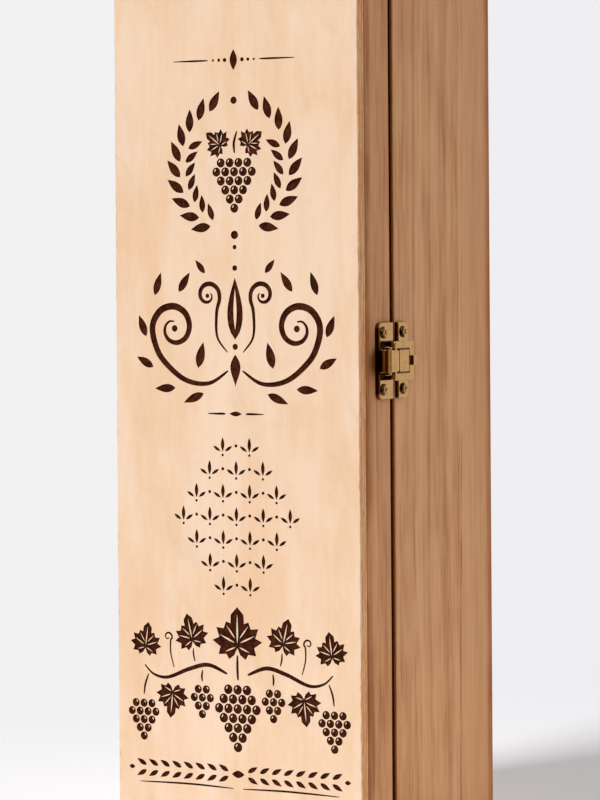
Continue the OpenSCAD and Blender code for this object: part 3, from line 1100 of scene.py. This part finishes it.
@dataclass
class Ornament:
    """A plain vine ornament: closed outlines on the lid's front, as x and z in millimetres."""

    outlines: list[Outline] = field(default_factory=list)

    LEAF = [(0.0, 0.06), (0.08, -0.10), (0.22, -0.20), (0.29, -0.08), (0.50, -0.10), (0.45, 0.08), (0.66, 0.22),
            (0.48, 0.30), (0.56, 0.52), (0.36, 0.50), (0.30, 0.66), (0.18, 0.62), (0.17, 0.82), (0.0, 1.0)]
    VEINS = [(0.07, 0.18, 0.44, 0.04, 66), (0.06, 0.28, 0.38, 0.035, 38), (0.05, 0.08, 0.30, 0.035, 112)]

    def both(self, *shapes: Outline) -> None:
        """Adds shapes and their mirror images."""
        for shape in shapes:
            self.outlines += [shape, [(-x, z) for x, z in shape]]

    def one(self, *shapes: Outline) -> None:
        """Adds shapes as they are."""
        self.outlines += list(shapes)

    def vine_leaf(self, x: float, z: float, size: float, degrees: float, mirrored: bool = False) -> None:
        """Adds a lobed leaf whose veins stay standing.

        Args:
            x: its foot's place across the panel.
            z: its foot's height.
            size: its length.
            degrees: where its tip points, clockwise from up.
            mirrored: True for a pair of leaves.
        """
        whole = self.LEAF + [(-px, pz) for px, pz in reversed(self.LEAF[1:-1])]
        veins = [petal(0.0, 0.16, 0.68, 0.045, 0)]
        for foot_x, foot_z, length, width, lean in self.VEINS:
            veins += [petal(side * foot_x, foot_z, length, width, side * lean) for side in (1, -1)]
        (self.both if mirrored else self.one)(*(turned(shape, x, z, size, degrees) for shape in [whole, *veins]))

    def grapes(self, x: float, z: float, rows: Sequence[int], radius: float, mirrored: bool = False) -> None:
        """Adds a bunch of grapes whose highlights stay standing.

        Args:
            x: the middle of the bunch.
            z: the height of its top row.
            rows: how many grapes each row has.
            radius: a grape's radius.
            mirrored: True for a pair of bunches.
        """
        pitch = 2 * radius + 0.35
        for number, row in enumerate(rows):
            for i in range(row):
                gx, gz = x + (i - (row - 1) / 2) * pitch, z - number * pitch * 0.88
                shine = petal(gx - radius * 0.5, gz + radius * 0.05, radius * 0.75, radius * 0.3, 28, count=4)
                (self.both if mirrored else self.one)(disc(gx, gz, radius, 18), shine)

    def wreath(self) -> None:
        """The wreath at the top, with a bunch of grapes in it."""
        middle, outer_r, inner_r = 243, 22.6, 20.3
        for i in range(10):
            degrees = 26 + i * 14.2
            out_x, out_z = math.sin(math.radians(degrees)), -math.cos(math.radians(degrees))
            self.both(petal(outer_r * out_x, middle + outer_r * out_z, 8.2, 3.3, 90 - degrees + 34))
            if i < 7:
                self.both(petal(inner_r * out_x, middle + inner_r * out_z, 6.4, 2.5, 90 - degrees - 46))
        self.one(disc(0, 267.0, 1.3), disc(0, 219.5, 1.5), disc(0, 215.2, 0.8))
        self.grapes(0, 245, (4, 5, 4, 3, 2, 1), 1.65)
        self.vine_leaf(-4.9, 250.6, 8.4, -52)
        self.vine_leaf(4.9, 250.6, 8.4, 52)
        self.one(stroke([(0.2, 248.4), (0.0, 252.0), (1.2, 256.0)], 1.0, 0.5))

    def heading(self) -> None:
        """The fine rule above the wreath."""
        self.one(petal(0, 277.6, 7.4, 3.0, 0, 0.5))
        for i, radius in enumerate((0.75, 0.6, 0.45)):
            self.both(disc(3.6 + i * 2.4, 281.3, radius, 12))
        self.both(stroke([(10.5, 281.3), (17, 281.3), (25, 281.3)], 0.7, 0.3, 0.4))

    def flourish(self) -> None:
        """The scrolls in the middle."""
        scroll = [(3.0, 171.5), (11, 167.0), (21, 168.2), (30, 175.0), *curl(25.5, 186.5, 9.6, -32, 1.35)]
        self.both(stroke(scroll, 2.5, 0.2, 0.36, 6))
        inner = [(3.2, 178.0), (7.4, 183.5), (7.6, 192.0), *curl(11.2, 198.2, 5.0, 195, -1.15)]
        self.both(stroke(inner, 1.7, 0.2, 0.4, 6))
        leaves = ((15.5, 172.4, 9.5, 3.6, -14), (34.3, 172.6, 7.8, 3.0, 62), (13.2, 163.4, 9.0, 3.0, 112),
                  (25.0, 165.2, 8.6, 3.0, 92), (37.2, 183.5, 8.2, 3.1, 22), (33.5, 198.2, 8.6, 3.0, -18),
                  (23.4, 199.4, 8.4, 3.0, -34), (12.4, 206.0, 6.2, 2.3, 40))
        self.both(*(petal(*leaf) for leaf in leaves), disc(25.2, 186.4, 1.2, 14), disc(11.4, 198.0, 0.8, 12))
        self.one(petal(0, 182.5, 22.0, 6.4, 0, 0.40), petal(0, 186.0, 14.5, 1.3, 0, 0.45),
                 petal(0, 165.8, 11.5, 4.2, 0, 0.6), disc(0, 180.0, 1.1, 14), disc(0, 207.8, 1.0, 14))

    def divider(self) -> None:
        """The small mark below the scrolls."""
        self.one(petal(-2.6, 156.3, 5.2, 1.7, 90, 0.5))
        self.both(stroke([(4.2, 156.3), (7, 156.3), (11.5, 156.3)], 0.8, 0.3, 0.35))

    def field_of_sprigs(self) -> None:
        """The lozenge of small sprigs between the scrolls and the garland."""
        for row, count in enumerate((2, 3, 4, 5, 4, 3, 2)):
            z = 145.0 - row * 8.2
            for i in range(count):
                x = (i - (count - 1) / 2) * 11.0
                self.one(petal(x, z - 2.2, 5.2, 1.5, 0, 0.5, 5), petal(x + 0.9, z - 2.0, 3.6, 1.15, 58, 0.5, 5),
                         petal(x - 0.9, z - 2.0, 3.6, 1.15, -58, 0.5, 5), disc(x, z - 3.3, 0.5, 8))
                if i:
                    self.one(disc(x - 5.5, z, 0.6, 10))

    def garland(self) -> None:
        """The vine with leaves and grapes along the foot."""
        self.both(stroke([(4.2, 64.2), (12, 67.0), (20, 65.2), (29, 61.8), (35, 62.6), (38.8, 65.8)], 1.5, 0.3, 0.3),
                  stroke([(26.4, 65.4), (27.8, 70.5), *curl(28.9, 76.3, 1.9, 235, -1.1)], 0.7, 0.4, 0.3),
                  stroke([(17.6, 68.0), (18.2, 70.4), (18.3, 72.6)], 0.7, 0.5),
                  stroke([(14.5, 65.0), (14.8, 62.9), (14.6, 61.0)], 0.8, 0.5),
                  stroke([(37.2, 62.6), (38.6, 59.0), (39.2, 55.2)], 0.8, 0.5))
        self.vine_leaf(0, 72.6, 15.5, 0)
        self.vine_leaf(18.4, 74.4, 10.8, 14, True)
        self.vine_leaf(38.6, 71.2, 10.0, -8, True)
        self.vine_leaf(27.0, 57.6, 10.4, 174, True)
        self.grapes(0, 58.8, (3, 4, 5, 4, 3, 2, 1), 1.75)
        self.grapes(14.7, 58.2, (2, 3, 2, 1), 1.5, True)
        self.grapes(39.3, 52.0, (3, 4, 3, 2, 1), 1.5, True)
        self.one(stroke([(0.2, 62.2), (0.0, 66.0), (0, 71.0)], 1.0, 0.6))
        for i in range(8):
            self.both(petal(4.0 + i * 4.9, 29.8, 4.6, 1.7, 62), petal(4.0 + i * 4.9, 28.0, 4.6, 1.7, 118))
        self.one(petal(-2.6, 28.9, 5.2, 2.6, 90, 0.5))
        self.both(stroke([(2.0, 23.8), (20, 24.2), (41, 23.8)], 0.7, 0.4), petal(43.2, 28.9, 2.5, 1.6, 90, 0.5))

    def draw(self) -> list[Outline]:
        """Draws every part.

        Returns:
            The closed outlines.
        """
        for part in (self.heading, self.wreath, self.flourish, self.divider, self.field_of_sprigs, self.garland):
            part()
        return self.outlines


@dataclass
class EngravedPanel(Panel):
    """The lid's front panel with the ornament sunk into its face."""

    depth: float = 0.45

    def shape(self) -> Mesh:
        """The panel, its front filled round the outlines, which are sunk and numbered 1.

        Returns:
            The panel's mesh.
        """
        shape = super().shape()
        front = max((face for face in shape.faces if face.normal.y < -0.99), key=lambda face: face.calc_area())
        level = front.calc_center_median().y
        border = list(front.edges)
        bmesh.ops.delete(shape, geom=[front], context="FACES_ONLY")
        cut: Edges = []
        for outline in Ornament().draw():
            verts = [shape.verts.new((x, level, z)) for x, z in outline]
            cut += [shape.edges.new(pair) for pair in zip(verts, verts[1:] + verts[:1])]
        face_up = Vector((0.0, -1.0, 0.0))
        bmesh.ops.triangle_fill(shape, edges=border + cut, use_beauty=True, normal=face_up)
        old = set(shape.faces)
        grown = bmesh.ops.extrude_edge_only(shape, edges=cut)["geom"]
        walls = {part for part in grown if isinstance(part, bmesh.types.BMFace)}
        bmesh.ops.translate(shape, vec=(0.0, self.depth, 0.0),
                            verts=[part for part in grown if isinstance(part, bmesh.types.BMVert)])
        rim = at_level([part for part in grown if isinstance(part, bmesh.types.BMEdge)], 1, level + self.depth)
        bmesh.ops.triangle_fill(shape, edges=rim, use_beauty=True, normal=face_up)
        for face in shape.faces:
            if face not in old:
                # The walls take the darker char of painted shade, the floors the plain char
                face.material_index = 3 if face in walls else 1
        bmesh.ops.recalc_face_normals(shape, faces=shape.faces)
        return shape


@dataclass
class Lid:
    """The shallow half: the engraved front panel on four rails, and its nails."""

    def build(self) -> None:
        """Builds the lid's woodwork."""
        nails = Nails("lid_nails", Body.LID, (-40.2, -32.5))
        EngravedPanel("lid_front_panel", Body.LID, PlyFace("ply_front")).build()
        right = Pine("pine_lid_right", Run.UP, (20.0, -120.0), 6.2, (paint(234, 171, 119), paint(160, 92, 40)),
                     shade=(-45.2, 7.0, 0.55), latch_shadow=(-38.9, 174.5))
        left = Pine("pine_lid_left", Run.UP, (-20.0, 140.0), 7.9, BOUNCE_LIT_TONES)
        Board("lid_right_rail", Body.LID, right, 0.4, 1, 0.28, [lambda: nails.holes(1.0)]).build()
        Board("lid_left_rail", Body.LID, left, 0.4, 1, tools=[lambda: nails.holes(-1.0)]).build()
        for node, seed, pith in (("lid_top_rail", 8.6, (410.0, -120.0)), ("lid_bottom_rail", 9.4, (-70.0, -160.0))):
            Board(node, Body.LID, Pine("pine_" + node, Run.ACROSS, pith, seed, BOUNCE_LIT_TONES), 0.3, 1).build()
        nails.build()


# ---- Brass hardware ----


def brass_piece(node: str, body: Body, shape: Mesh, finishes: Sequence[Brass], smooth: float = 40.0) -> None:
    """Finishes one brass part, which stands for its node."""
    settle(finish_piece(node + "_brass", shape, finishes, smooth), body, Slot.BRASS, node)


@dataclass
class ScrewSet:
    """All the cross-headed screws of one node. Sunk heads lie level with their plate, the others stand on it."""

    node: str
    body: Body
    places: list[Matrix]
    head_r: float
    head_t: float
    length: float
    sunk: bool
    finish: Brass
    shank_r: float = 0.9
    point_r: float = 0.2
    point_length: float = 2.0
    recess: float = 0.45
    slot_w: float = 0.5

    def _cross(self, floor: float) -> Mesh:
        """The tool for the crossed recess, down to a height.

        Args:
            floor: the height of the recess's floor.

        Returns:
            The tool's mesh.
        """
        reach, half = self.head_r * 0.6, self.slot_w / 2
        shape = blank((-reach, -half, floor), (reach, half, 2))
        add(shape, blank((-half, -reach, floor), (half, reach, 2)))
        return shape

    def _pattern(self) -> Mesh:
        """One screw that points down, with its plate's face at z = 0.

        Returns:
            The screw's mesh.
        """
        top = 0.0 if self.sunk else self.head_t
        neck_r = self.shank_r if self.sunk else self.head_r
        width, segments = (0.12, 2) if self.sunk else (self.head_t * 0.72, 5)
        head = rod(neck_r, self.head_t, (0, 0, top - self.head_t / 2), Run.UP, 40, self.head_r)
        ease(head, at_level(sharp(head), 2, top), width, segments)
        piece = finish_piece("screw_head", head, [])
        carve(piece, self._cross(top - self.recess))
        shape = reopen(piece)
        shank = self.length - self.point_length
        add(shape, rod(self.point_r, self.point_length, (0, 0, self.point_length / 2 - self.length), Run.UP, 20,
                       self.shank_r))
        add(shape, rod(self.shank_r, shank - 0.1, (0, 0, -shank / 2), Run.UP, 20))
        return shape

    def build(self) -> None:
        """Makes the screws as one object, each turned its own way."""
        pattern = self._pattern()
        shape = bmesh.new()
        for number, place in enumerate(self.places):
            copy = pattern.copy()
            bmesh.ops.transform(copy, matrix=place @ Matrix.Rotation(math.radians(17 + 31 * number), 4, "Z"),
                                verts=copy.verts)
            add(shape, copy)
        pattern.free()
        brass_piece(self.node, self.body, shape, [self.finish], 35)


@dataclass
class Hinges:
    """Two butt hinges on the hinge side, with their pins and screws."""

    pin_x: float = -52.21
    leaf_play: float = 0.6
    zs: tuple[float, float] = (280.0, 70.0)
    screw_x: float = -46.0
    screw_dz: float = 7.5
    length: float = 25.0
    pin_r: float = 1.0
    cap_r: float = 1.45
    cap_t: float = 0.5
    overlap: float = 0.1
    soften: float = 0.12
    brass: Brass = Brass("brass_leaf", paint(222, 180, 120), amount=0.3, rough=0.38)

    def _leaf(self, node: str, body: Body) -> None:
        """Makes a leaf from its own node's mesh: merged, flattened and with softened edges.

        Args:
            node: the leaf's node.
            body: the body that it rides on.
        """
        shape = in_mm(FRAME["nodes"][node].data)
        bmesh.ops.remove_doubles(shape, verts=shape.verts, dist=1e-4)
        bmesh.ops.dissolve_limit(shape, angle_limit=math.radians(1.0), verts=shape.verts, edges=shape.edges)
        ease(shape, sharp(shape, 50), self.soften, 2)
        brass_piece(node, body, shape, [self.brass], 35)

    def _pin(self, node: str, z: float) -> None:
        """Makes one hinge pin with domed ends.

        Args:
            node: the pin's node.
            z: the height of its middle.
        """
        shape = rod(self.pin_r, self.length, (self.pin_x, GAP_Y, z), Run.UP, 32)
        for end in (-1, 1):
            top = z + end * (self.length / 2 + self.cap_t - self.overlap)
            cap = rod(self.cap_r, self.cap_t, (self.pin_x, GAP_Y, top - end * self.cap_t / 2), Run.UP, 32)
            ease(cap, at_level(sharp(cap), 2, top), 0.38, 4)
            add(shape, cap)
        brass_piece(node, Body.TRAY, shape, [Brass("brass_pin")], 35)

    def build(self) -> None:
        """Builds both hinges."""
        for name, z in zip(("upper", "lower"), self.zs):
            self._leaf(f"{name}_hinge_tray_leaf", Body.TRAY)
            self._leaf(f"{name}_hinge_lid_leaf", Body.LID)
            self._pin(f"{name}_hinge_pin", z)
        for body, side in ((Body.TRAY, 1), (Body.LID, -1)):
            places = [Matrix.Translation((self.screw_x, GAP_Y + side * self.leaf_play / 2, z + dz))
                      @ Matrix.Rotation(side * math.pi / 2, 4, "X")
                      for z in self.zs for dz in (-self.screw_dz, self.screw_dz)]
            ScrewSet(f"hinge_{body.value}_screws", body, places, 1.9, 1.0, 9.0, True, self.brass).build()


@dataclass
class Latch:
    """The duckbill latch: two pressed plates, a lever on a pin, and four screws.

    Places are pairs of a height above the wood and a depth from the gap, or of two depths.
    """

    rise: float = 1.5
    half_h: float = 13.4
    base: tuple[float, float] = (-12.5, -1.9)
    catch: tuple[float, float] = (1.9, 9.5)
    roll: float = 0.35
    slot_z: float = 5.8
    slot_half: float = 0.95
    slot_margin: float = 1.6
    root: float = 1.1
    ear_r: float = 1.72
    ear_z: float = 4.05
    pivot: tuple[float, float] = (3.76, -10.8)
    pin_r: float = 1.1
    pin_h: float = 10.1
    barrel_r: float = 2.06
    barrel_h: float = 7.7
    lever_top: float = 5.22
    lever_h: float = 13.8
    sheet_t: float = 0.8
    frame_y: tuple[float, float] = (-7.34, 6.4)
    window_y: tuple[float, float] = (-6.24, 3.2)
    window_h: float = 8.9
    lap_over: float = 0.7
    tongue_y: tuple[float, float] = (-4.44, 2.7)
    tongue_top: float = 5.42
    tab_h: float = 3.6
    screw_z: float = 10.0
    # The plates and the lever carry patina with painted shade low down; the base plate also a painted dark reflection
    # along its shoulder, and both plates painted shade under the lever
    base_brass: Brass = Brass("brass_base", low_patina_and_shade=(50.4, 51.3), shaded=4.0, shoulder=-38.5)
    catch_brass: Brass = Brass("brass_catch", low_patina_and_shade=(50.4, 51.3), shaded=6.8)
    lever_brass: Brass = Brass("brass_lever", low_patina_and_shade=(51.6, 54.4), rough=0.16)
    # Painted shade: dark, rough brass for the walls and floors of the base plate's slots, standing for the shade in
    # them
    recess: Brass = Brass("brass_slot_shade", paint(70, 40, 20), paint(30, 14, 6), 0.8, 0.5)

    def _at(self, u: float, y: float, z: float) -> tuple[float, float, float]:
        """A place from its height above the wood, its depth from the gap and its height from the middle."""
        return SIDE_X + u, GAP_Y + y, MID_Z + z

    def _sheet(self, outline: Outline, half: float) -> Mesh:
        """A bent sheet, from its outline in heights and depths, as far as half on both sides of the middle."""
        return plate([self._at(u, y, -half) for u, y in outline], (0, 0, 2 * half))

    def _pan(self, low_y: float, high_y: float, low_r: float, high_r: float, flank: float, depth: float,
             front: bool) -> Mesh:
        """A pressed plate.

        Args:
            low_y: its edge towards the lid's front.
            high_y: its edge towards the tray's back.
            low_r: the corners' radius at low_y.
            high_r: the corners' radius at high_y.
            flank: how wide the rolled flank at low_y or high_y is.
            depth: how far down that flank is rolled.
            front: True where that flank is at low_y, False where it is at high_y.

        Returns:
            The plate's mesh.
        """
        shape = blank(self._at(0, low_y, -self.half_h), self._at(self.rise, high_y, self.half_h))
        for edge_y, radius in ((low_y, low_r), (high_y, high_r)):
            ease(shape, square_to(at_level(sharp(shape), 1, GAP_Y + edge_y), 2), radius, 6)
        top, roll, span = SIDE_X + self.rise, self.roll, high_y - low_y
        ease(shape, at_level(sharp(shape), 0, top), roll, 4)
        free, turn = (GAP_Y + low_y, 1) if front else (GAP_Y + high_y, -1)
        blend = span * 0.6
        for vert in shape.verts:
            inwards = abs(vert.co.y - free)
            if SIDE_X + NEAR < vert.co.x < top - NEAR:
                fall = 1 + (depth / roll - 1) * max(0.0, 1 - inwards / 2.0)
                vert.co.x = top - (top - vert.co.x) * fall
            if vert.co.x > SIDE_X + NEAR and inwards < blend:
                moved = (inwards * flank / roll if inwards < roll
                         else flank + (inwards - roll) * (span - flank) / (span - roll))
                share = 1 - max(0.0, (inwards - roll) / (blend - roll))
                vert.co.y = free + turn * (inwards + (moved - inwards) * share)
        return shape

    def _base_plate(self) -> None:
        """The lid's plate with its two slots and two ears."""
        finishes = [self.base_brass, self.recess]
        shape = self._pan(*self.base, 2.2, 0.3, 1.1, 1.25, True)
        piece = finish_piece("latch_base_plate_brass", shape, finishes, 40)
        slots = bmesh.new()
        for end in (-1, 1):
            slot = blank(self._at(0.2, self.base[0] + self.slot_margin, end * self.slot_z - self.slot_half),
                         self._at(4, self.base[1] - self.slot_margin, end * self.slot_z + self.slot_half))
            ease(slot, square_to(sharp(slot), 0, False), 0.3, 2)
            for face in slot.faces:
                # The slot's faces take the recess finish, its painted shade
                face.material_index = 1
            add(slots, slot)
        carve(piece, slots)
        worked = reopen(piece)
        arc = [(self.pivot[0] + self.ear_r * math.sin(math.radians(a)),
                self.pivot[1] - self.ear_r * math.cos(math.radians(a))) for a in range(0, 181, 12)]
        outline = [(self.root, arc[0][1]), *arc, (self.root, arc[-1][1])]
        for end in (-1, 1):
            ear = plate([self._at(u, y, end * self.ear_z) for u, y in outline], (0, 0, end * self.sheet_t))
            ease(ear, sharp(ear), 0.14, 2)
            add(worked, ear)
        brass_piece("latch_base_plate", Body.LID, worked, finishes)

    def _catch_plate(self) -> None:
        """The tray's plate with its tongue, bent up and then forwards into a flat top."""
        shape = self._pan(*self.catch, 0.5, 2.3, 0.6, 0.7, False)
        front, back = self.tongue_y
        top, inner, wall = self.tongue_top, self.tongue_top - self.sheet_t, back - self.sheet_t
        tongue = self._sheet([(self.root, wall), (inner, wall), (inner, front), (top, front), (top, back),
                              (self.root, back)], self.barrel_h / 2)
        ease(tongue, square_to(at_level(sharp(tongue), 1, GAP_Y + front), 2), 0.8, 5)
        ease(tongue, at_level(at_level(sharp(tongue), 0, SIDE_X + top), 1, GAP_Y + back), 0.35, 4)
        ease(tongue, sharp(tongue), 0.12, 2)
        add(shape, tongue)
        brass_piece("latch_catch_plate", Body.TRAY, shape, [self.catch_brass])

    def _lever(self) -> None:
        """The lever: barrel, lap, windowed frame and finger tab."""
        half, window_half = self.lever_h / 2, self.window_h / 2
        frame = blank(self._at(self.lever_top - self.sheet_t, self.frame_y[0], -half),
                      self._at(self.lever_top, self.frame_y[1], half))
        ease(frame, square_to(sharp(frame), 0, False), 0.7, 5)
        ease(frame, at_level(sharp(frame), 0, SIDE_X + self.lever_top), 0.18)
        piece = finish_piece("latch_lever_brass", frame, [self.lever_brass], 40)
        window = blank(self._at(2, self.window_y[0], -window_half), self._at(8, self.window_y[1], window_half))
        ease(window, square_to(sharp(window), 0, False), 0.5, 4)
        carve(piece, window)
        shape = reopen(piece)
        add(shape, self._barrel())
        add(shape, self._tab())
        brass_piece("latch_lever", Body.LEVER, shape, [self.lever_brass])

    def _barrel(self) -> Mesh:
        """The rolled barrel whose sheet laps over the frame.

        Returns:
            The barrel's mesh.
        """
        u0, y0 = self.pivot
        lap_end = self.window_y[0] + self.lap_over
        start = math.degrees(math.acos((self.lever_top - u0) / self.barrel_r))
        angles = [math.radians(start + i * (360 - start) / 44) for i in range(45)]
        arc = [(u0 + self.barrel_r * math.cos(a), y0 + self.barrel_r * math.sin(a)) for a in angles]
        shape = self._sheet([(self.lever_top, lap_end), *arc, (u0 + self.barrel_r, lap_end)], self.barrel_h / 2)
        ease(shape, square_to(at_level(sharp(shape), 1, GAP_Y + lap_end), 2), 1.2, 6)
        ease(shape, sharp(shape), 0.12, 2)
        return shape

    def _tab(self) -> Mesh:
        """The finger tab, bent up from the frame.

        Returns:
            The tab's mesh.
        """
        top, start = self.lever_top, self.window_y[1]
        shape = self._sheet([(top - 0.8, start), (top + 1.2, start + 0.9), (top + 1.2, start + 3.4),
                             (top + 0.4, start + 3.4), (top + 0.4, start + 1.7), (top - 0.8, start + 0.8)],
                            self.tab_h / 2)
        ease(shape, sharp(shape), 0.2)
        return shape

    def _pin(self) -> None:
        """The pin across the ears."""
        shape = rod(self.pin_r, self.pin_h, self._at(*self.pivot, 0), Run.UP, 32)
        ease(shape, sharp(shape), 0.35, 4)
        brass_piece("latch_pin", Body.LID, shape, [Brass("brass_pin")])

    def _screws(self, node: str, body: Body, y: float) -> None:
        """One plate's two screws.

        Args:
            node: the screws' node.
            body: the body that they ride on.
            y: their depth from the gap.
        """
        finish = Brass(node.replace("latch", "brass"), amount=0.4, rough=0.2, heads=GAP_Y + y)
        places = [Matrix.Translation(self._at(self.rise, y, z)) @ Matrix.Rotation(math.pi / 2, 4, "Y")
                  for z in (-self.screw_z, self.screw_z)]
        ScrewSet(node, body, places, 2.1, 0.8, 7.5, False, finish).build()

    def build(self) -> None:
        """Builds the whole latch."""
        self._base_plate()
        self._catch_plate()
        self._lever()
        self._pin()
        self._screws("latch_base_screws", Body.LID, -9.0)
        self._screws("latch_catch_screws", Body.TRAY, 5.4)


# ---- Studio ----


@dataclass
class Studio:
    """The camera, the lamps, the pale floor and the world round the box."""

    focal_px: float = 3506.09
    yaw: float = 0.526246
    pitch: float = 0.008316
    roll: float = -0.0068068
    row: float = 286.45
    distance: float = 1212.14
    aside: float = 20.236
    height: float = 201.366
    image_h: float = 800.0
    sensor_h: float = 36.0
    floor_r: float = 4000.0
    floor_z: float = -0.05

    def camera(self) -> None:
        """Sets up the camera."""
        ahead = Vector((-math.sin(self.yaw) * math.cos(self.pitch), math.cos(self.yaw) * math.cos(self.pitch),
                        -math.sin(self.pitch)))
        right = Vector((math.cos(self.yaw), math.sin(self.yaw), 0.0))
        up = right.cross(ahead)
        right_rolled = math.cos(self.roll) * right + math.sin(self.roll) * up
        up_rolled = math.cos(self.roll) * up - math.sin(self.roll) * right
        place = Vector((SIDE_X, -SIDE_X, self.height)) - self.distance * ahead - self.aside * right
        data = bpy.data.cameras.new("camera")
        data.sensor_fit, data.sensor_height = "VERTICAL", self.sensor_h
        data.lens = self.focal_px / self.image_h * self.sensor_h
        data.shift_y = (self.row - self.image_h / 2) / self.image_h
        camera = bpy.data.objects.new("camera", data)
        turn = Matrix((right_rolled, up_rolled, -ahead)).transposed().to_4x4()
        camera.matrix_world = Matrix.Translation(place * MM) @ turn
        bpy.context.scene.collection.objects.link(camera)
        bpy.context.scene.camera = camera

    def _lamp(self, name: str, place: Sequence[float], aim: Sequence[float], size: float, watts: float) -> None:
        """Adds a square soft lamp, in metres, that looks at a point.

        Args:
            name: the lamp's name.
            place: where it stands.
            aim: the point that it looks at.
            size: its width.
            watts: its power.
        """
        data = bpy.data.lights.new(name, "AREA")
        data.shape, data.size, data.energy = "SQUARE", size, watts
        lamp = bpy.data.objects.new(name, data)
        toward = Vector(aim) - Vector(place)
        lamp.matrix_world = Matrix.Translation(place) @ toward.to_track_quat("-Z", "Y").to_matrix().to_4x4()
        bpy.context.scene.collection.objects.link(lamp)

    def lamps(self) -> None:
        """Adds the key lamp in front, a little to the left, and a weak fill at the back right."""
        self._lamp("key", (-0.38, -2.27, 2.18), (0.0, -0.02, 0.14), 0.75, 86.0)
        self._lamp("fill", (1.9, 1.5, 1.3), (0.0, 0.0, 0.18), 1.2, 6.0)

    def world(self) -> None:
        """Makes the world: a pale backdrop for the camera, a room that lights the box and one that gloss mirrors."""
        world = bpy.data.worlds.new("studio")
        world.use_nodes = True
        world.node_tree.nodes.clear()
        bpy.context.scene.world = world
        bench = Bench(world.node_tree)
        x, y, z = bench.split(bench.node("ShaderNodeTexCoord", output="Generated"))
        backdrop = bench.between(bench.step(x, -0.62, -0.40), paint(243, 243, 243), paint(239, 237, 240))
        behind = bench.step(y, -0.25, 0.35)
        beside = bench.step(y, -0.65, -0.45) * (1 - bench.step(y, 0.46, 0.56))
        mirrored = bench.step(y, 0.58, 0.78).over(bench.step(z.size(), 0.22, 0.42) * bench.step(y, -0.55, -0.25))
        camera_ray = bench.node("ShaderNodeLightPath", output="Is Camera Ray")
        gloss_ray = camera_ray.beside("Is Glossy Ray").over(camera_ray.beside("Is Transmission Ray"))
        matt_room = bench.between(behind, (0.11, 0.108, 0.104), (0.69, 0.688, 0.692))
        dark_room = bench.between(beside, (0.026, 0.010, 0.006), (0.50, 0.40, 0.31))
        gloss_room = bench.between(mirrored, dark_room, (0.84, 0.84, 0.85))
        colour = bench.between(camera_ray, bench.between(gloss_ray, matt_room, gloss_room), backdrop)
        glow = bench.node("ShaderNodeBackground", inputs={"Color": colour, "Strength": 1.0})
        bench.node("ShaderNodeOutputWorld", inputs={"Surface": glow})

    def floor(self) -> None:
        """Adds the pale floor, which fades into the backdrop away from the box."""
        shape = bmesh.new()
        bmesh.ops.create_circle(shape, cap_ends=True, radius=self.floor_r, segments=64)
        bmesh.ops.translate(shape, vec=(0, 0, self.floor_z), verts=shape.verts)
        finish_piece("studio_floor", shape, [FloorPaint("floor_paint")])

    def build(self) -> None:
        """Builds the studio."""
        bpy.context.scene.view_settings.view_transform = "Standard"
        self.camera()
        self.lamps()
        self.world()
        self.floor()


def main() -> None:
    """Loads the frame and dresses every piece."""
    logging.basicConfig(level=logging.INFO, format="%(message)s")
    FRAME.update(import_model())
    for part in (Studio(), Tray(), Lid(), Hinges(), Latch()):
        LOG.info("building %s", type(part).__name__)
        part.build()
    bpy.context.view_layer.update()


if __name__ == "__main__":
    main()
